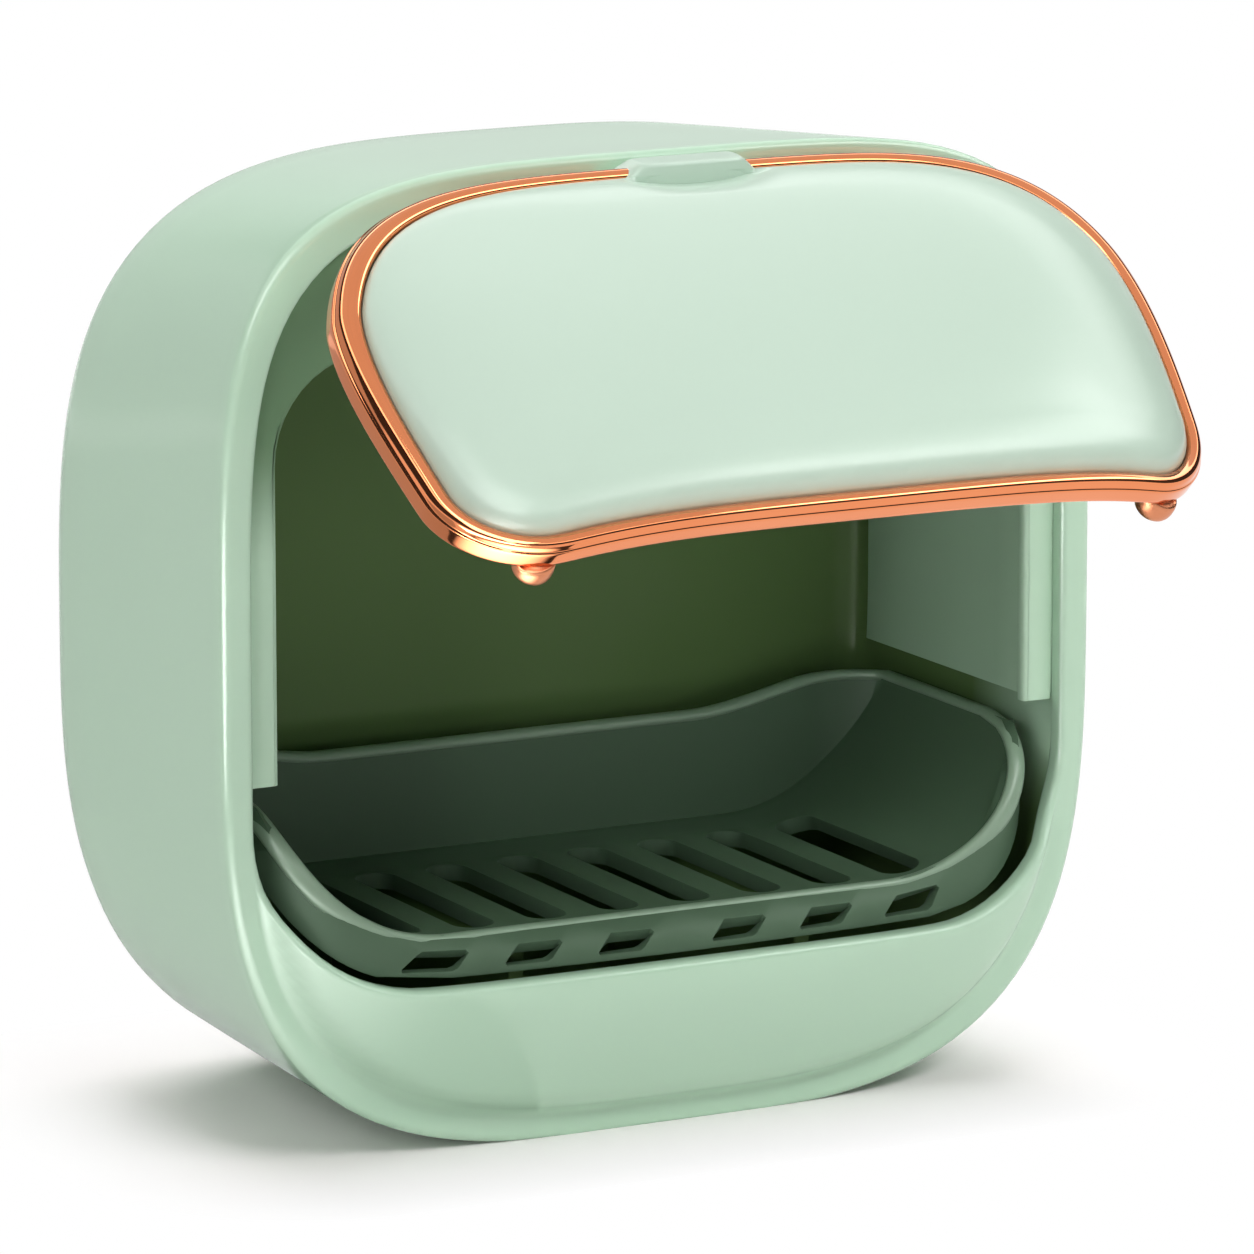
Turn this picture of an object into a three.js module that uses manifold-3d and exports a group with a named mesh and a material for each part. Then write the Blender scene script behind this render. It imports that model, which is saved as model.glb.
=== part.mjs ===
// Soap dish: an upright rounded box with an open front, a short flip-up lid
// with a copper coloured trim ring, an inner liner and a slotted drain tray.
// Millimetres, +Z up. The finished group stands on z = 0 with its origin in the
// middle of the base and its open front towards -Y. The pieces themselves are
// drawn with the front rim in the plane y = 0 and moved back at the end.
import * as THREE from "three";
import { mergeVertices } from "three/addons/utils/BufferGeometryUtils.js";
import Module from "manifold-3d";

const wasm = await Module();
wasm.setup();

// Housing
const HOUSING_WIDTH = 130;
const HOUSING_HEIGHT = 131.5;
const HOUSING_DEPTH = 60;
const BACK_WIDTH = 129;
const BACK_HEIGHT = 127;
const BASE_FLAT_CUT = 0.8;
const FRONT_POWER_TOP = 4.25;
const FRONT_POWER_BOTTOM = 3.3;
const BACK_POWER_TOP = 3.25;
const BACK_POWER_BOTTOM = 2.85;
const SIDE_WALL = 4.0;
const BACK_WALL = 4.0;
const FRONT_EDGE_ROUND = 1.6;
const BACK_EDGE_ROUND = 9;
const INNER_BACK_ROUND = 5;
const FRONT_WALL = 3.2;
const FRONT_BULGE = 11;
const CREASE_SCALE = 0.938;
const DOME_END_Z = 60;
const DOME_END_SLOPE = 4.4;

// Front opening
const RIM_WIDTH = 4.5;
const RIM_LIP_DEPTH = 2.0;
const RIM_CHAMFER = 1.0;
const FRONT_WALL_TOP = 24;
const OPENING_CORNER = 22;

// Ribs that carry the tray
const RIB_SLOT_STEPS = 2;
const RIB_THICKNESS = 2.4;
const RIB_FRONT = 2;

// Liner
const LINER_CLEARANCE = 0.35;
const LINER_THICKNESS = 2.0;
const LINER_BOTTOM = 51.5;
const LINER_BACK_CLEARANCE = 6;
const LINER_FLANGE_SIDE = 9;
const LINER_FLANGE_DROP = 24;
const LINER_FLANGE_BELOW = 50;
const LINER_FLANGE_CORNER = 14;
const LINER_FLANGE_THICKNESS = 2.2;
const LINER_FLANGE_GAP = 0.2;

// Drain tray
const TRAY_SIDE_CLEARANCE = 1.5;
const TRAY_TOP = 48;
const TRAY_BACK_TOP = 44;
const TRAY_FLOOR_TOP = 29.5;
const TRAY_WALL = 2.2;
const TRAY_CORNER = 26;
const TRAY_FRONT = -4.6;
const TRAY_FRONT_ARC_RADIUS = 400;
const TRAY_BACK_CLEARANCE = 8;
const TRAY_BACK_CORNER = 12;
const TRAY_FRONT_CORNER = 12;
const TRAY_SHOULDER_Y = 14;
const TRAY_SHOULDER_ROUND = 15;
const APRON_THICKNESS = 2.0;
const APRON_CLEARANCE = 0.4;
const APRON_CORNER = 21.5;
const FLOOR_SLOT_COUNT = 8;
const FLOOR_SLOT_PITCH = 10.8;
const FLOOR_SLOT_WIDTH = 6;
const FLOOR_SLOT_FRONT = 1.5;
const FLOOR_SLOT_BACK_MARGIN = 12;
const FLOOR_SLOT_CUT = 6;
const APRON_SLOT_X = [8.5, 22, 35.5];
const APRON_SLOT_WIDTH = 8.6;
const APRON_SLOT_HEIGHT = 2.6;
const APRON_SLOT_LEAN = 2;
const APRON_SLOT_Z = 26.6;
const TRAY_REST_GAP = 0.1;

// Lid
const LID_OPEN_ANGLE = 43.5;
const LID_SIDE_DRAW = 4.3;
const LID_TAPER = 0.11;
const LID_TAPER_POWER = 1.13;
const LID_TAPER_DROP = 21;
const LID_TOP_DROP = 2.4;
const LID_HEIGHT = 63.8;
const LID_CORNER = 13;
const LID_POWER = 4.15;
const LID_STANDOFF = 4.0;
const LID_BULGE = 17;
const LID_SLAB_MARGIN = 1;
const RING_WIDTH = 2.9;
const RING_PROUD = 0.6;
const RING_BACK = 3.4;
const PANEL_GAP = 0.1;
const PANEL_THICKNESS = 3.4;
const FRAME_INSET = 2.5;
const FRAME_FRONT = 3.5;
const FRAME_BACK = 5.3;
const TAB_BASE_HALF = 10.5;
const TAB_TOP_HALF = 7.4;
const TAB_BASE_DROP = 7;
const TAB_RISE = 0.4;
const TAB_SHOULDER = 2.6;
const TAB_ROUND_X = 1.4;
const TAB_ROUND_Z = 1.3;
const TAB_THICKNESS = 2.8;
const TAB_GAP = 0.3;
const STOP_PAD_INSET = 10;
const STOP_PAD_WIDTH = 5;
const STOP_PAD_DROP = 15;
const STOP_PAD_HEIGHT = 5;
const STOP_PAD_GAP = 0.3;

// Lid hinge
const HINGE_Y = -3.6;
const HINGE_DROP = 6.5;
const PIN_RADIUS = 1.0;
const PIN_CLEARANCE = 0.1;
const PIN_EAR_COVER = 2.5;
const PIN_LUG_COVER = 1.0;
const KNUCKLE_RADIUS = 2.4;
const KNUCKLE_CLEARANCE = 0.3;
const EAR_LENGTH = 9.2;
const EAR_ROOT_DROP = 9;
const LUG_LENGTH = 4.4;
const LUG_INSET = 35;
const LUG_ARM_RISE = 0.6;
const WASHER_THICKNESS = 0.8;
const WASHER_SIDE_GAP = 0.1;
const WASHER_RADIUS = 2.2;

// Pull nubs behind the lower corners of the lid
const NUB_INSET = 15.5;
const NUB_RISE = 1.7;
const NUB_RADIUS = 2.7;
const NUB_LENGTH = 3.6;
const NUB_ROUND = 1.5;
const NUB_STEM_RADIUS = 0.9;
const NUB_STEM_LENGTH = 2.2;
const NUB_CLEARANCE = 0.1;
const NUB_ROOM = 0.3;

// Screws
const SCREW_HEAD_RADIUS = 2.3;
const SCREW_HEAD_HEIGHT = 0.9;
const SCREW_SHAFT_RADIUS = 1.2;
const SCREW_CLEARANCE = 0.1;
const SCREW_POINT = 0.6;
const SCREW_HOLE_REACH = 6;
const LINER_SCREW_LENGTH = 4.4;
const LINER_SCREW_RISE = [9, 33];
const LINER_SCREW_SINK = 0.15;
const LID_SCREW_LENGTH = 4.2;
const LID_SCREW_INSET = [21, 29];
const LID_SCREW_RISE = [13.5, 49.5];
const LID_SCREW_SINK = 0.25;

// Adhesive pad on the back
const PAD_WIDTH = 80;
const PAD_HEIGHT = 60;
const PAD_THICKNESS = 1.5;
const PAD_POCKET = 0.5;
const PAD_RISE = 3.5;
const PAD_REST_GAP = 0.02;
const PAD_CORNER = 6;
const PAD_CLEARANCE = 0.2;

// Smoothness of the curved surfaces
const OUTLINE_POINTS = 76;
const CORNER_STEPS = 8;

// Derived levels
const CENTRE_Z = (HOUSING_HEIGHT - BASE_FLAT_CUT) / 2;
const HALF_WIDTH = HOUSING_WIDTH / 2;
const HALF_HEIGHT = (HOUSING_HEIGHT + BASE_FLAT_CUT) / 2;
const OPENING_HALF_WIDTH = HALF_WIDTH - RIM_WIDTH;
const OPENING_TOP = HOUSING_HEIGHT - RIM_WIDTH;
const APRON_BOTTOM = FRONT_WALL_TOP + APRON_CLEARANCE;
const TRAY_FLOOR_UNDER = TRAY_FLOOR_TOP - TRAY_WALL;
const RIB_TOP = TRAY_FLOOR_UNDER - TRAY_REST_GAP;
const FLANGE_FRONT = RIM_LIP_DEPTH + LINER_FLANGE_GAP;
const INNER_BACK = HOUSING_DEPTH - BACK_WALL;
const RIB_X = RIB_SLOT_STEPS * FLOOR_SLOT_PITCH;

// Pieces that follow the housing walls, each with its own clearance
const LINER_BACK = INNER_BACK - LINER_BACK_CLEARANCE;
const LINER_FLANGE_HALF_WIDTH = HALF_WIDTH - LINER_FLANGE_SIDE;
const LINER_FLANGE_TOP = HOUSING_HEIGHT - LINER_FLANGE_DROP;
const LINER_SCREW_Y = LINER_BACK / 2;
const LINER_SCREW_Z = LINER_SCREW_RISE.map((rise) => LINER_BOTTOM + rise);
const TRAY_HALF_WIDTH = Math.min(HOUSING_WIDTH, BACK_WIDTH) / 2 - SIDE_WALL - TRAY_SIDE_CLEARANCE;
const TRAY_BACK = INNER_BACK - TRAY_BACK_CLEARANCE;
const FLOOR_SLOT_BACK = TRAY_BACK - FLOOR_SLOT_BACK_MARGIN;
const PAD_Z = BACK_HEIGHT / 2 + PAD_RISE;

// The lid hangs from the top of the housing, the hinge and its stops with it
const LID_HALF_WIDTH = HALF_WIDTH - LID_SIDE_DRAW;
const LID_TOP = HOUSING_HEIGHT - LID_TOP_DROP;
const LID_BOTTOM = LID_TOP - LID_HEIGHT;
const LID_TAPER_START = LID_TOP - LID_TAPER_DROP;
const LID_SCREWS = LID_SCREW_INSET.map(
  (inset, row) => [LID_HALF_WIDTH - inset, LID_BOTTOM + LID_SCREW_RISE[row]],
);
const TAB_BASE_Z = LID_TOP - TAB_BASE_DROP;
const TAB_TOP_Z = LID_TOP + TAB_RISE;
const STOP_PAD_OUTER = LID_HALF_WIDTH - STOP_PAD_INSET;
const STOP_PAD_INNER = STOP_PAD_OUTER - STOP_PAD_WIDTH;
const STOP_PAD_HIGH = LID_TOP - STOP_PAD_DROP;
const STOP_PAD_LOW = STOP_PAD_HIGH - STOP_PAD_HEIGHT;
const NUB_X = LID_HALF_WIDTH - NUB_INSET;
const HINGE_Z = HOUSING_HEIGHT - HINGE_DROP;
const LUG_OUTER = HALF_WIDTH - LUG_INSET;
const LUG_INNER = LUG_OUTER - LUG_LENGTH;
const EAR_OUTER = LUG_INNER - WASHER_THICKNESS - 2 * WASHER_SIDE_GAP;
const EAR_INNER = EAR_OUTER - EAR_LENGTH;
const PIN_INNER = EAR_INNER + PIN_EAR_COVER;
const PIN_OUTER = LUG_OUTER - PIN_LUG_COVER;

// Longer than the whole object, for cuts that run right through a piece
const BEYOND = HOUSING_WIDTH + HOUSING_HEIGHT + HOUSING_DEPTH;

function lerp(a, b, t) {
  return a + (b - a) * t;
}

function radians(degrees) {
  return (degrees * Math.PI) / 180;
}

// Bodies and booleans
function toSolid(geometry) {
  const bare = geometry.clone();
  bare.deleteAttribute("normal");
  bare.deleteAttribute("uv");
  const merged = mergeVertices(bare, 1e-4);
  const mesh = new wasm.Mesh({
    numProp: 3,
    vertProperties: new Float32Array(merged.attributes.position.array),
    triVerts: new Uint32Array(merged.index.array),
  });
  return new wasm.Manifold(mesh);
}

function toGeometry(solid) {
  const mesh = solid.getMesh();
  const geometry = new THREE.BufferGeometry();
  geometry.setAttribute("position", new THREE.BufferAttribute(mesh.vertProperties, 3));
  geometry.setIndex(new THREE.BufferAttribute(mesh.triVerts, 1));
  const split = geometry.toNonIndexed();
  split.computeVertexNormals();
  return split;
}

function unite(solids) {
  return solids.reduce((sum, solid) => sum.add(solid));
}

function cut(solid, tools) {
  return tools.reduce((left, tool) => left.subtract(tool), solid);
}

// Outlines in the x z plane, each a ring of points that runs anticlockwise
function superRing(halfWidth, zLow, zHigh, powerLow, powerHigh) {
  const middle = (zLow + zHigh) / 2;
  const half = (zHigh - zLow) / 2;
  const ring = [];
  for (let i = 0; i < OUTLINE_POINTS; i += 1) {
    const angle = (2 * Math.PI * i) / OUTLINE_POINTS;
    const c = Math.cos(angle);
    const s = Math.sin(angle);
    const power = s >= 0 ? powerHigh : powerLow;
    const reach = (Math.abs(c) ** power + Math.abs(s) ** power) ** (-1 / power);
    ring.push([halfWidth * reach * c, middle + half * reach * s]);
  }
  return ring;
}

function housingRing(y, inset) {
  const t = Math.max(0, y) / HOUSING_DEPTH;
  const halfWidth = lerp(HOUSING_WIDTH, BACK_WIDTH, t) / 2 - inset;
  const top = lerp(HOUSING_HEIGHT, BACK_HEIGHT, t) - inset;
  const low = lerp(FRONT_POWER_BOTTOM, BACK_POWER_BOTTOM, t);
  const high = lerp(FRONT_POWER_TOP, BACK_POWER_TOP, t);
  return superRing(halfWidth, inset - BASE_FLAT_CUT, top, low, high);
}

function scaledFrontRing(scale) {
  return housingRing(0, 0).map(([x, z]) => [x * scale, CENTRE_Z + (z - CENTRE_Z) * scale]);
}

function arcPoints(x, z, radius, from, to) {
  const points = [];
  for (let i = 0; i <= CORNER_STEPS; i += 1) {
    const angle = radians(lerp(from, to, i / CORNER_STEPS));
    points.push([x + radius * Math.cos(angle), z + radius * Math.sin(angle)]);
  }
  return points;
}

// A U with rounded lower corners, closed across its top
function troughRing(halfWidth, zLow, zHigh, corner) {
  return [
    [halfWidth, zHigh],
    [-halfWidth, zHigh],
    ...arcPoints(-halfWidth + corner, zLow + corner, corner, 180, 270),
    ...arcPoints(halfWidth - corner, zLow + corner, corner, 270, 360),
  ];
}

function openingRing(grow) {
  const upper = superRing(
    OPENING_HALF_WIDTH + grow,
    RIM_WIDTH - BASE_FLAT_CUT,
    OPENING_TOP + grow,
    FRONT_POWER_BOTTOM,
    FRONT_POWER_TOP,
  ).filter(([, z]) => z > CENTRE_Z + 1);
  const half = OPENING_HALF_WIDTH + grow;
  const low = FRONT_WALL_TOP;
  return [
    ...upper,
    ...arcPoints(-half + OPENING_CORNER, low + OPENING_CORNER, OPENING_CORNER, 180, 270),
    ...arcPoints(half - OPENING_CORNER, low + OPENING_CORNER, OPENING_CORNER, 270, 360),
  ];
}

// The lid outline is widest near the hinge and draws in towards its lower edge
function lidTaper(z) {
  const share = Math.max(0, LID_TAPER_START - z) / (LID_TAPER_START - LID_BOTTOM);
  return 1 - LID_TAPER * share ** LID_TAPER_POWER;
}

function lidRing(inset) {
  const half = LID_HALF_WIDTH - inset;
  const corner = Math.max(3, LID_CORNER - inset);
  const low = LID_BOTTOM + inset;
  const upper = superRing(half, 2 * CENTRE_Z - LID_TOP + inset, LID_TOP - inset, LID_POWER, LID_POWER);
  return [
    ...upper.filter(([, z]) => z > low + corner + 1),
    ...arcPoints(-half + corner, low + corner, corner, 180, 270),
    ...arcPoints(half - corner, low + corner, corner, 270, 360),
  ].map(([x, z]) => [x * lidTaper(z), z]);
}

function slotRing(x, y0, y1, radius) {
  return [
    ...arcPoints(x, y1 - radius, radius, 0, 180),
    ...arcPoints(x, y0 + radius, radius, 180, 360),
  ];
}

function roundedRing(halfWidth, zLow, zHigh, corner) {
  return [
    ...arcPoints(halfWidth - corner, zHigh - corner, corner, 0, 90),
    ...arcPoints(-halfWidth + corner, zHigh - corner, corner, 90, 180),
    ...arcPoints(-halfWidth + corner, zLow + corner, corner, 180, 270),
    ...arcPoints(halfWidth - corner, zLow + corner, corner, 270, 360),
  ];
}

// An outline pushed along y from y0 to y1
function prism(ring, y0, y1) {
  const shape = new THREE.Shape(ring.map(([x, z]) => new THREE.Vector2(x, z)));
  const geometry = new THREE.ExtrudeGeometry(shape, { depth: y1 - y0, bevelEnabled: false });
  geometry.rotateX(Math.PI / 2);
  geometry.translate(0, y1, 0);
  return toSolid(geometry);
}

// An outline in the x y plane pushed along z from z0 to z1
function column(ring, z0, z1) {
  const shape = new THREE.Shape(ring.map(([x, y]) => new THREE.Vector2(x, y)));
  const geometry = new THREE.ExtrudeGeometry(shape, { depth: z1 - z0, bevelEnabled: false });
  geometry.translate(0, 0, z0);
  return toSolid(geometry);
}

function block(x0, x1, y0, y1, z0, z1) {
  const geometry = new THREE.BoxGeometry(x1 - x0, y1 - y0, z1 - z0);
  geometry.translate((x0 + x1) / 2, (y0 + y1) / 2, (z0 + z1) / 2);
  return toSolid(geometry);
}

// An outline in the y z plane pushed along x from x0 to x1
function bar(ring, x0, x1) {
  const shape = new THREE.Shape(ring.map(([y, z]) => new THREE.Vector2(y, z)));
  const geometry = new THREE.ExtrudeGeometry(shape, { depth: x1 - x0, bevelEnabled: false });
  geometry.rotateY(Math.PI / 2);
  geometry.rotateX(Math.PI / 2);
  geometry.translate(x0, 0, 0);
  return toSolid(geometry);
}

function rodAlongX(x0, x1, y, z, radius, sides = 24) {
  const geometry = new THREE.CylinderGeometry(radius, radius, x1 - x0, sides);
  geometry.rotateZ(Math.PI / 2);
  geometry.translate((x0 + x1) / 2, y, z);
  return toSolid(geometry);
}

// A skin over a row of outlines, each in its own plane of constant y.
// The outlines run from the back of the body to its front.
function skin(sections) {
  const count = sections[0].ring.length;
  const positions = [];
  const index = [];
  sections.forEach(({ y, ring }) => ring.forEach(([x, z]) => positions.push(x, y, z)));
  for (let k = 0; k + 1 < sections.length; k += 1) {
    for (let i = 0; i < count; i += 1) {
      const a = k * count + i;
      const b = k * count + ((i + 1) % count);
      index.push(a, b, a + count, b, b + count, a + count);
    }
  }
  const ends = [[0, true], [sections.length - 1, false]];
  ends.forEach(([k, isBack]) => {
    const hub = positions.length / 3;
    const { y, ring } = sections[k];
    const z = ring.reduce((sum, point) => sum + point[1], 0) / count;
    positions.push(0, y, z);
    for (let i = 0; i < count; i += 1) {
      const a = k * count + i;
      const b = k * count + ((i + 1) % count);
      index.push(hub, isBack ? b : a, isBack ? a : b);
    }
  });
  const geometry = new THREE.BufferGeometry();
  geometry.setAttribute("position", new THREE.Float32BufferAttribute(positions, 3));
  geometry.setIndex(index);
  return toSolid(geometry);
}

// How far a point lies towards the housing outline: 0 in the middle, 1 on it
function outlineShare(x, z) {
  const dz = z - CENTRE_Z;
  const power = dz >= 0 ? FRONT_POWER_TOP : FRONT_POWER_BOTTOM;
  return (Math.abs(x / HALF_WIDTH) ** power + Math.abs(dz / HALF_HEIGHT) ** power) ** (1 / power);
}

// The front wall and the lid are both domed, the lid a little more
function domeY(share) {
  return -FRONT_BULGE * (1 - share ** 4);
}

function lidY(x, z) {
  return -LID_STANDOFF - LID_BULGE * (1 - outlineShare(x, z) ** 4);
}

// A slab that follows the lid surface between two distances behind it
function lidSlab(front, back) {
  const columns = 22;
  const rows = 14;
  const x0 = -LID_HALF_WIDTH - LID_SLAB_MARGIN;
  const z0 = LID_BOTTOM - LID_SLAB_MARGIN;
  const stepX = (-2 * x0) / columns;
  const stepZ = (TAB_TOP_Z + LID_SLAB_MARGIN - z0) / rows;
  const positions = [];
  const index = [];
  const layer = (columns + 1) * (rows + 1);
  [front, back].forEach((offset) => {
    for (let j = 0; j <= rows; j += 1) {
      for (let i = 0; i <= columns; i += 1) {
        const x = x0 + i * stepX;
        const z = z0 + j * stepZ;
        positions.push(x, lidY(x, z) + offset, z);
      }
    }
  });
  const at = (i, j, side) => side * layer + j * (columns + 1) + i;
  const quad = (a, b, c, d) => index.push(a, b, c, a, c, d);
  for (let j = 0; j < rows; j += 1) {
    for (let i = 0; i < columns; i += 1) {
      quad(at(i, j, 0), at(i + 1, j, 0), at(i + 1, j + 1, 0), at(i, j + 1, 0));
      quad(at(i, j, 1), at(i, j + 1, 1), at(i + 1, j + 1, 1), at(i + 1, j, 1));
    }
  }
  for (let i = 0; i < columns; i += 1) {
    quad(at(i, 0, 0), at(i, 0, 1), at(i + 1, 0, 1), at(i + 1, 0, 0));
    quad(at(i, rows, 0), at(i + 1, rows, 0), at(i + 1, rows, 1), at(i, rows, 1));
  }
  for (let j = 0; j < rows; j += 1) {
    quad(at(0, j, 0), at(0, j + 1, 0), at(0, j + 1, 1), at(0, j, 1));
    quad(at(columns, j, 0), at(columns, j, 1), at(columns, j + 1, 1), at(columns, j + 1, 0));
  }
  const geometry = new THREE.BufferGeometry();
  geometry.setAttribute("position", new THREE.Float32BufferAttribute(positions, 3));
  geometry.setIndex(index);
  return toSolid(geometry);
}

// A countersunk style screw whose head top lies at the origin, shaft along -Z
function screwGeometry(length, grow) {
  const head = SCREW_HEAD_RADIUS + grow;
  const shaft = SCREW_SHAFT_RADIUS + grow;
  const profile = [
    [0, -length - grow],
    [shaft * 0.6, -length - grow],
    [shaft, -length + SCREW_POINT],
    [shaft, -SCREW_HEAD_HEIGHT - grow],
    [head, -SCREW_HEAD_HEIGHT - grow],
    [head, grow > 0 ? SCREW_HOLE_REACH : 0],
    [0, grow > 0 ? SCREW_HOLE_REACH : 0],
  ];
  return new THREE.LatheGeometry(profile.map(([r, h]) => new THREE.Vector2(r, h)), 20);
}

function screwSolid(length, grow, direction, place) {
  const geometry = screwGeometry(length, grow);
  const turn = new THREE.Quaternion();
  turn.setFromUnitVectors(new THREE.Vector3(0, -1, 0), direction);
  geometry.applyQuaternion(turn);
  geometry.translate(place.x, place.y, place.z);
  return toSolid(geometry);
}

// Finishes
const FINISH = {
  mint: { color: 0xb9d6be, roughness: 0.42, metalness: 0 },
  mintLid: { color: 0xc4ddc9, roughness: 0.38, metalness: 0 },
  mintLiner: { color: 0xa9c9ae, roughness: 0.5, metalness: 0 },
  tray: { color: 0x5c7562, roughness: 0.5, metalness: 0 },
  copper: { color: 0xd08055, roughness: 0.16, metalness: 1 },
  nub: { color: 0xc9835f, roughness: 0.3, metalness: 1 },
  steel: { color: 0xb4b6b8, roughness: 0.3, metalness: 1 },
  rubber: { color: 0x2c2f2d, roughness: 0.85, metalness: 0 },
  foam: { color: 0xd9dbd8, roughness: 0.9, metalness: 0 },
};

function part(name, solid, finish) {
  const mesh = new THREE.Mesh(toGeometry(solid), new THREE.MeshStandardMaterial(FINISH[finish]));
  mesh.name = name;
  return mesh;
}

const SIDES = [["left", -1], ["right", 1]];

// Housing body: rounded box with a domed front
function housingOuter() {
  const d = HOUSING_DEPTH;
  const r = BACK_EDGE_ROUND;
  const f = FRONT_EDGE_ROUND;
  const sections = [
    [d, r],
    [d - r * 0.08, r * 0.6],
    [d - r * 0.3, r * 0.29],
    [d - r * 0.65, r * 0.06],
    [d - r, 0],
    [d * 0.5, 0],
    [f, 0],
    [f * 0.3, f * 0.3],
    [0, f],
  ].map(([y, inset]) => ({ y, ring: housingRing(y, inset) }));
  sections.push({ y: 0, ring: scaledFrontRing(CREASE_SCALE) });
  [0.93, 0.91, 0.87, 0.8, 0.68, 0.5, 0.25].forEach((share) => {
    sections.push({ y: domeY(share), ring: scaledFrontRing(share) });
  });
  return skin(sections);
}

function housingCavity() {
  const back = INNER_BACK;
  const r = INNER_BACK_ROUND;
  const sections = [
    [back, SIDE_WALL + r],
    [back - r * 0.24, SIDE_WALL + r * 0.32],
    [back - r * 0.9, SIDE_WALL],
    [HOUSING_DEPTH * 0.5, SIDE_WALL],
    [RIM_LIP_DEPTH, SIDE_WALL],
  ].map(([y, inset]) => ({ y, ring: housingRing(y, inset) }));
  [0.88, 0.82, 0.72, 0.55, 0.3].forEach((share) => {
    sections.push({ y: domeY(share) + FRONT_WALL, ring: scaledFrontRing(share) });
  });
  return skin(sections);
}

// A housing lug: a knuckle on a short arm, with a web up into the rim
function hingeLug(side) {
  const x0 = side > 0 ? LUG_INNER : -LUG_OUTER;
  const x1 = side > 0 ? LUG_OUTER : -LUG_INNER;
  const low = HINGE_Z - KNUCKLE_RADIUS;
  return unite([
    rodAlongX(x0, x1, HINGE_Y, HINGE_Z, KNUCKLE_RADIUS),
    block(x0, x1, HINGE_Y, RIM_LIP_DEPTH, low, HINGE_Z + LUG_ARM_RISE),
    block(x0, x1, 0, RIM_LIP_DEPTH, low, OPENING_TOP + RIM_WIDTH / 2),
  ]);
}

function hingeHole(side) {
  const reach = PIN_OUTER + PIN_CLEARANCE;
  const inner = PIN_INNER - PIN_CLEARANCE;
  const x0 = side > 0 ? inner : -reach;
  const x1 = side > 0 ? reach : -inner;
  return rodAlongX(x0, x1, HINGE_Y, HINGE_Z, PIN_RADIUS + PIN_CLEARANCE, 20);
}

// Inner face of the liner side wall at the height of the screws
function linerInnerX(y) {
  const t = y / HOUSING_DEPTH;
  const half = lerp(HOUSING_WIDTH, BACK_WIDTH, t) / 2;
  return half - SIDE_WALL - LINER_CLEARANCE - LINER_THICKNESS;
}

function linerScrewPlaces() {
  const x = linerInnerX(LINER_SCREW_Y) + LINER_SCREW_SINK;
  const places = [];
  SIDES.forEach(([word, side]) => {
    LINER_SCREW_Z.forEach((z, row) => {
      places.push({
        name: `liner_screw_${word}_${row === 0 ? "lower" : "upper"}`,
        place: new THREE.Vector3(side * x, LINER_SCREW_Y, z),
        direction: new THREE.Vector3(side, 0, 0),
      });
    });
  });
  return places;
}

function linerScrew({ place, direction }, grow) {
  return screwSolid(LINER_SCREW_LENGTH, grow, direction, place);
}

function makeHousing() {
  const mouth = prism(openingRing(0), -BEYOND, RIM_LIP_DEPTH + RIM_CHAMFER / 2);
  const chamfer = skin([
    { y: RIM_CHAMFER, ring: openingRing(0) },
    { y: -RIM_CHAMFER / 2, ring: openingRing(RIM_CHAMFER * 1.5) },
  ]);
  const upperOnly = block(-BEYOND, BEYOND, -BEYOND, BEYOND, CENTRE_Z, BEYOND);
  const reach = 2 * FRONT_BULGE;
  const aboveDome = bar([
    [0, DOME_END_Z],
    [0, BEYOND],
    [-reach, BEYOND],
    [-reach, DOME_END_Z - reach * DOME_END_SLOPE],
  ], -BEYOND, BEYOND);
  let body = housingOuter().subtract(housingCavity());
  body = cut(body, [mouth, aboveDome, chamfer.intersect(upperOnly)]);
  const ribs = SIDES.map(([, side]) => {
    const x = side * RIB_X;
    const half = RIB_THICKNESS / 2;
    return block(x - half, x + half, RIB_FRONT, HOUSING_DEPTH - BACK_WALL / 2, SIDE_WALL / 2, RIB_TOP);
  });
  body = unite([body, ...ribs, ...SIDES.map(([, side]) => hingeLug(side))]);
  const pocket = prism(
    roundedRing(PAD_WIDTH / 2 + PAD_CLEARANCE, PAD_Z - PAD_HEIGHT / 2 - PAD_CLEARANCE,
      PAD_Z + PAD_HEIGHT / 2 + PAD_CLEARANCE, PAD_CORNER),
    HOUSING_DEPTH - PAD_POCKET,
    BEYOND,
  );
  const ground = block(-BEYOND, BEYOND, -BEYOND, BEYOND, -BEYOND, 0);
  const screwHoles = linerScrewPlaces().map((screw) => linerScrew(screw, SCREW_CLEARANCE));
  const pinHoles = SIDES.map(([, side]) => hingeHole(side));
  return cut(body, [pocket, ground, ...screwHoles, ...pinHoles]);
}

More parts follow.
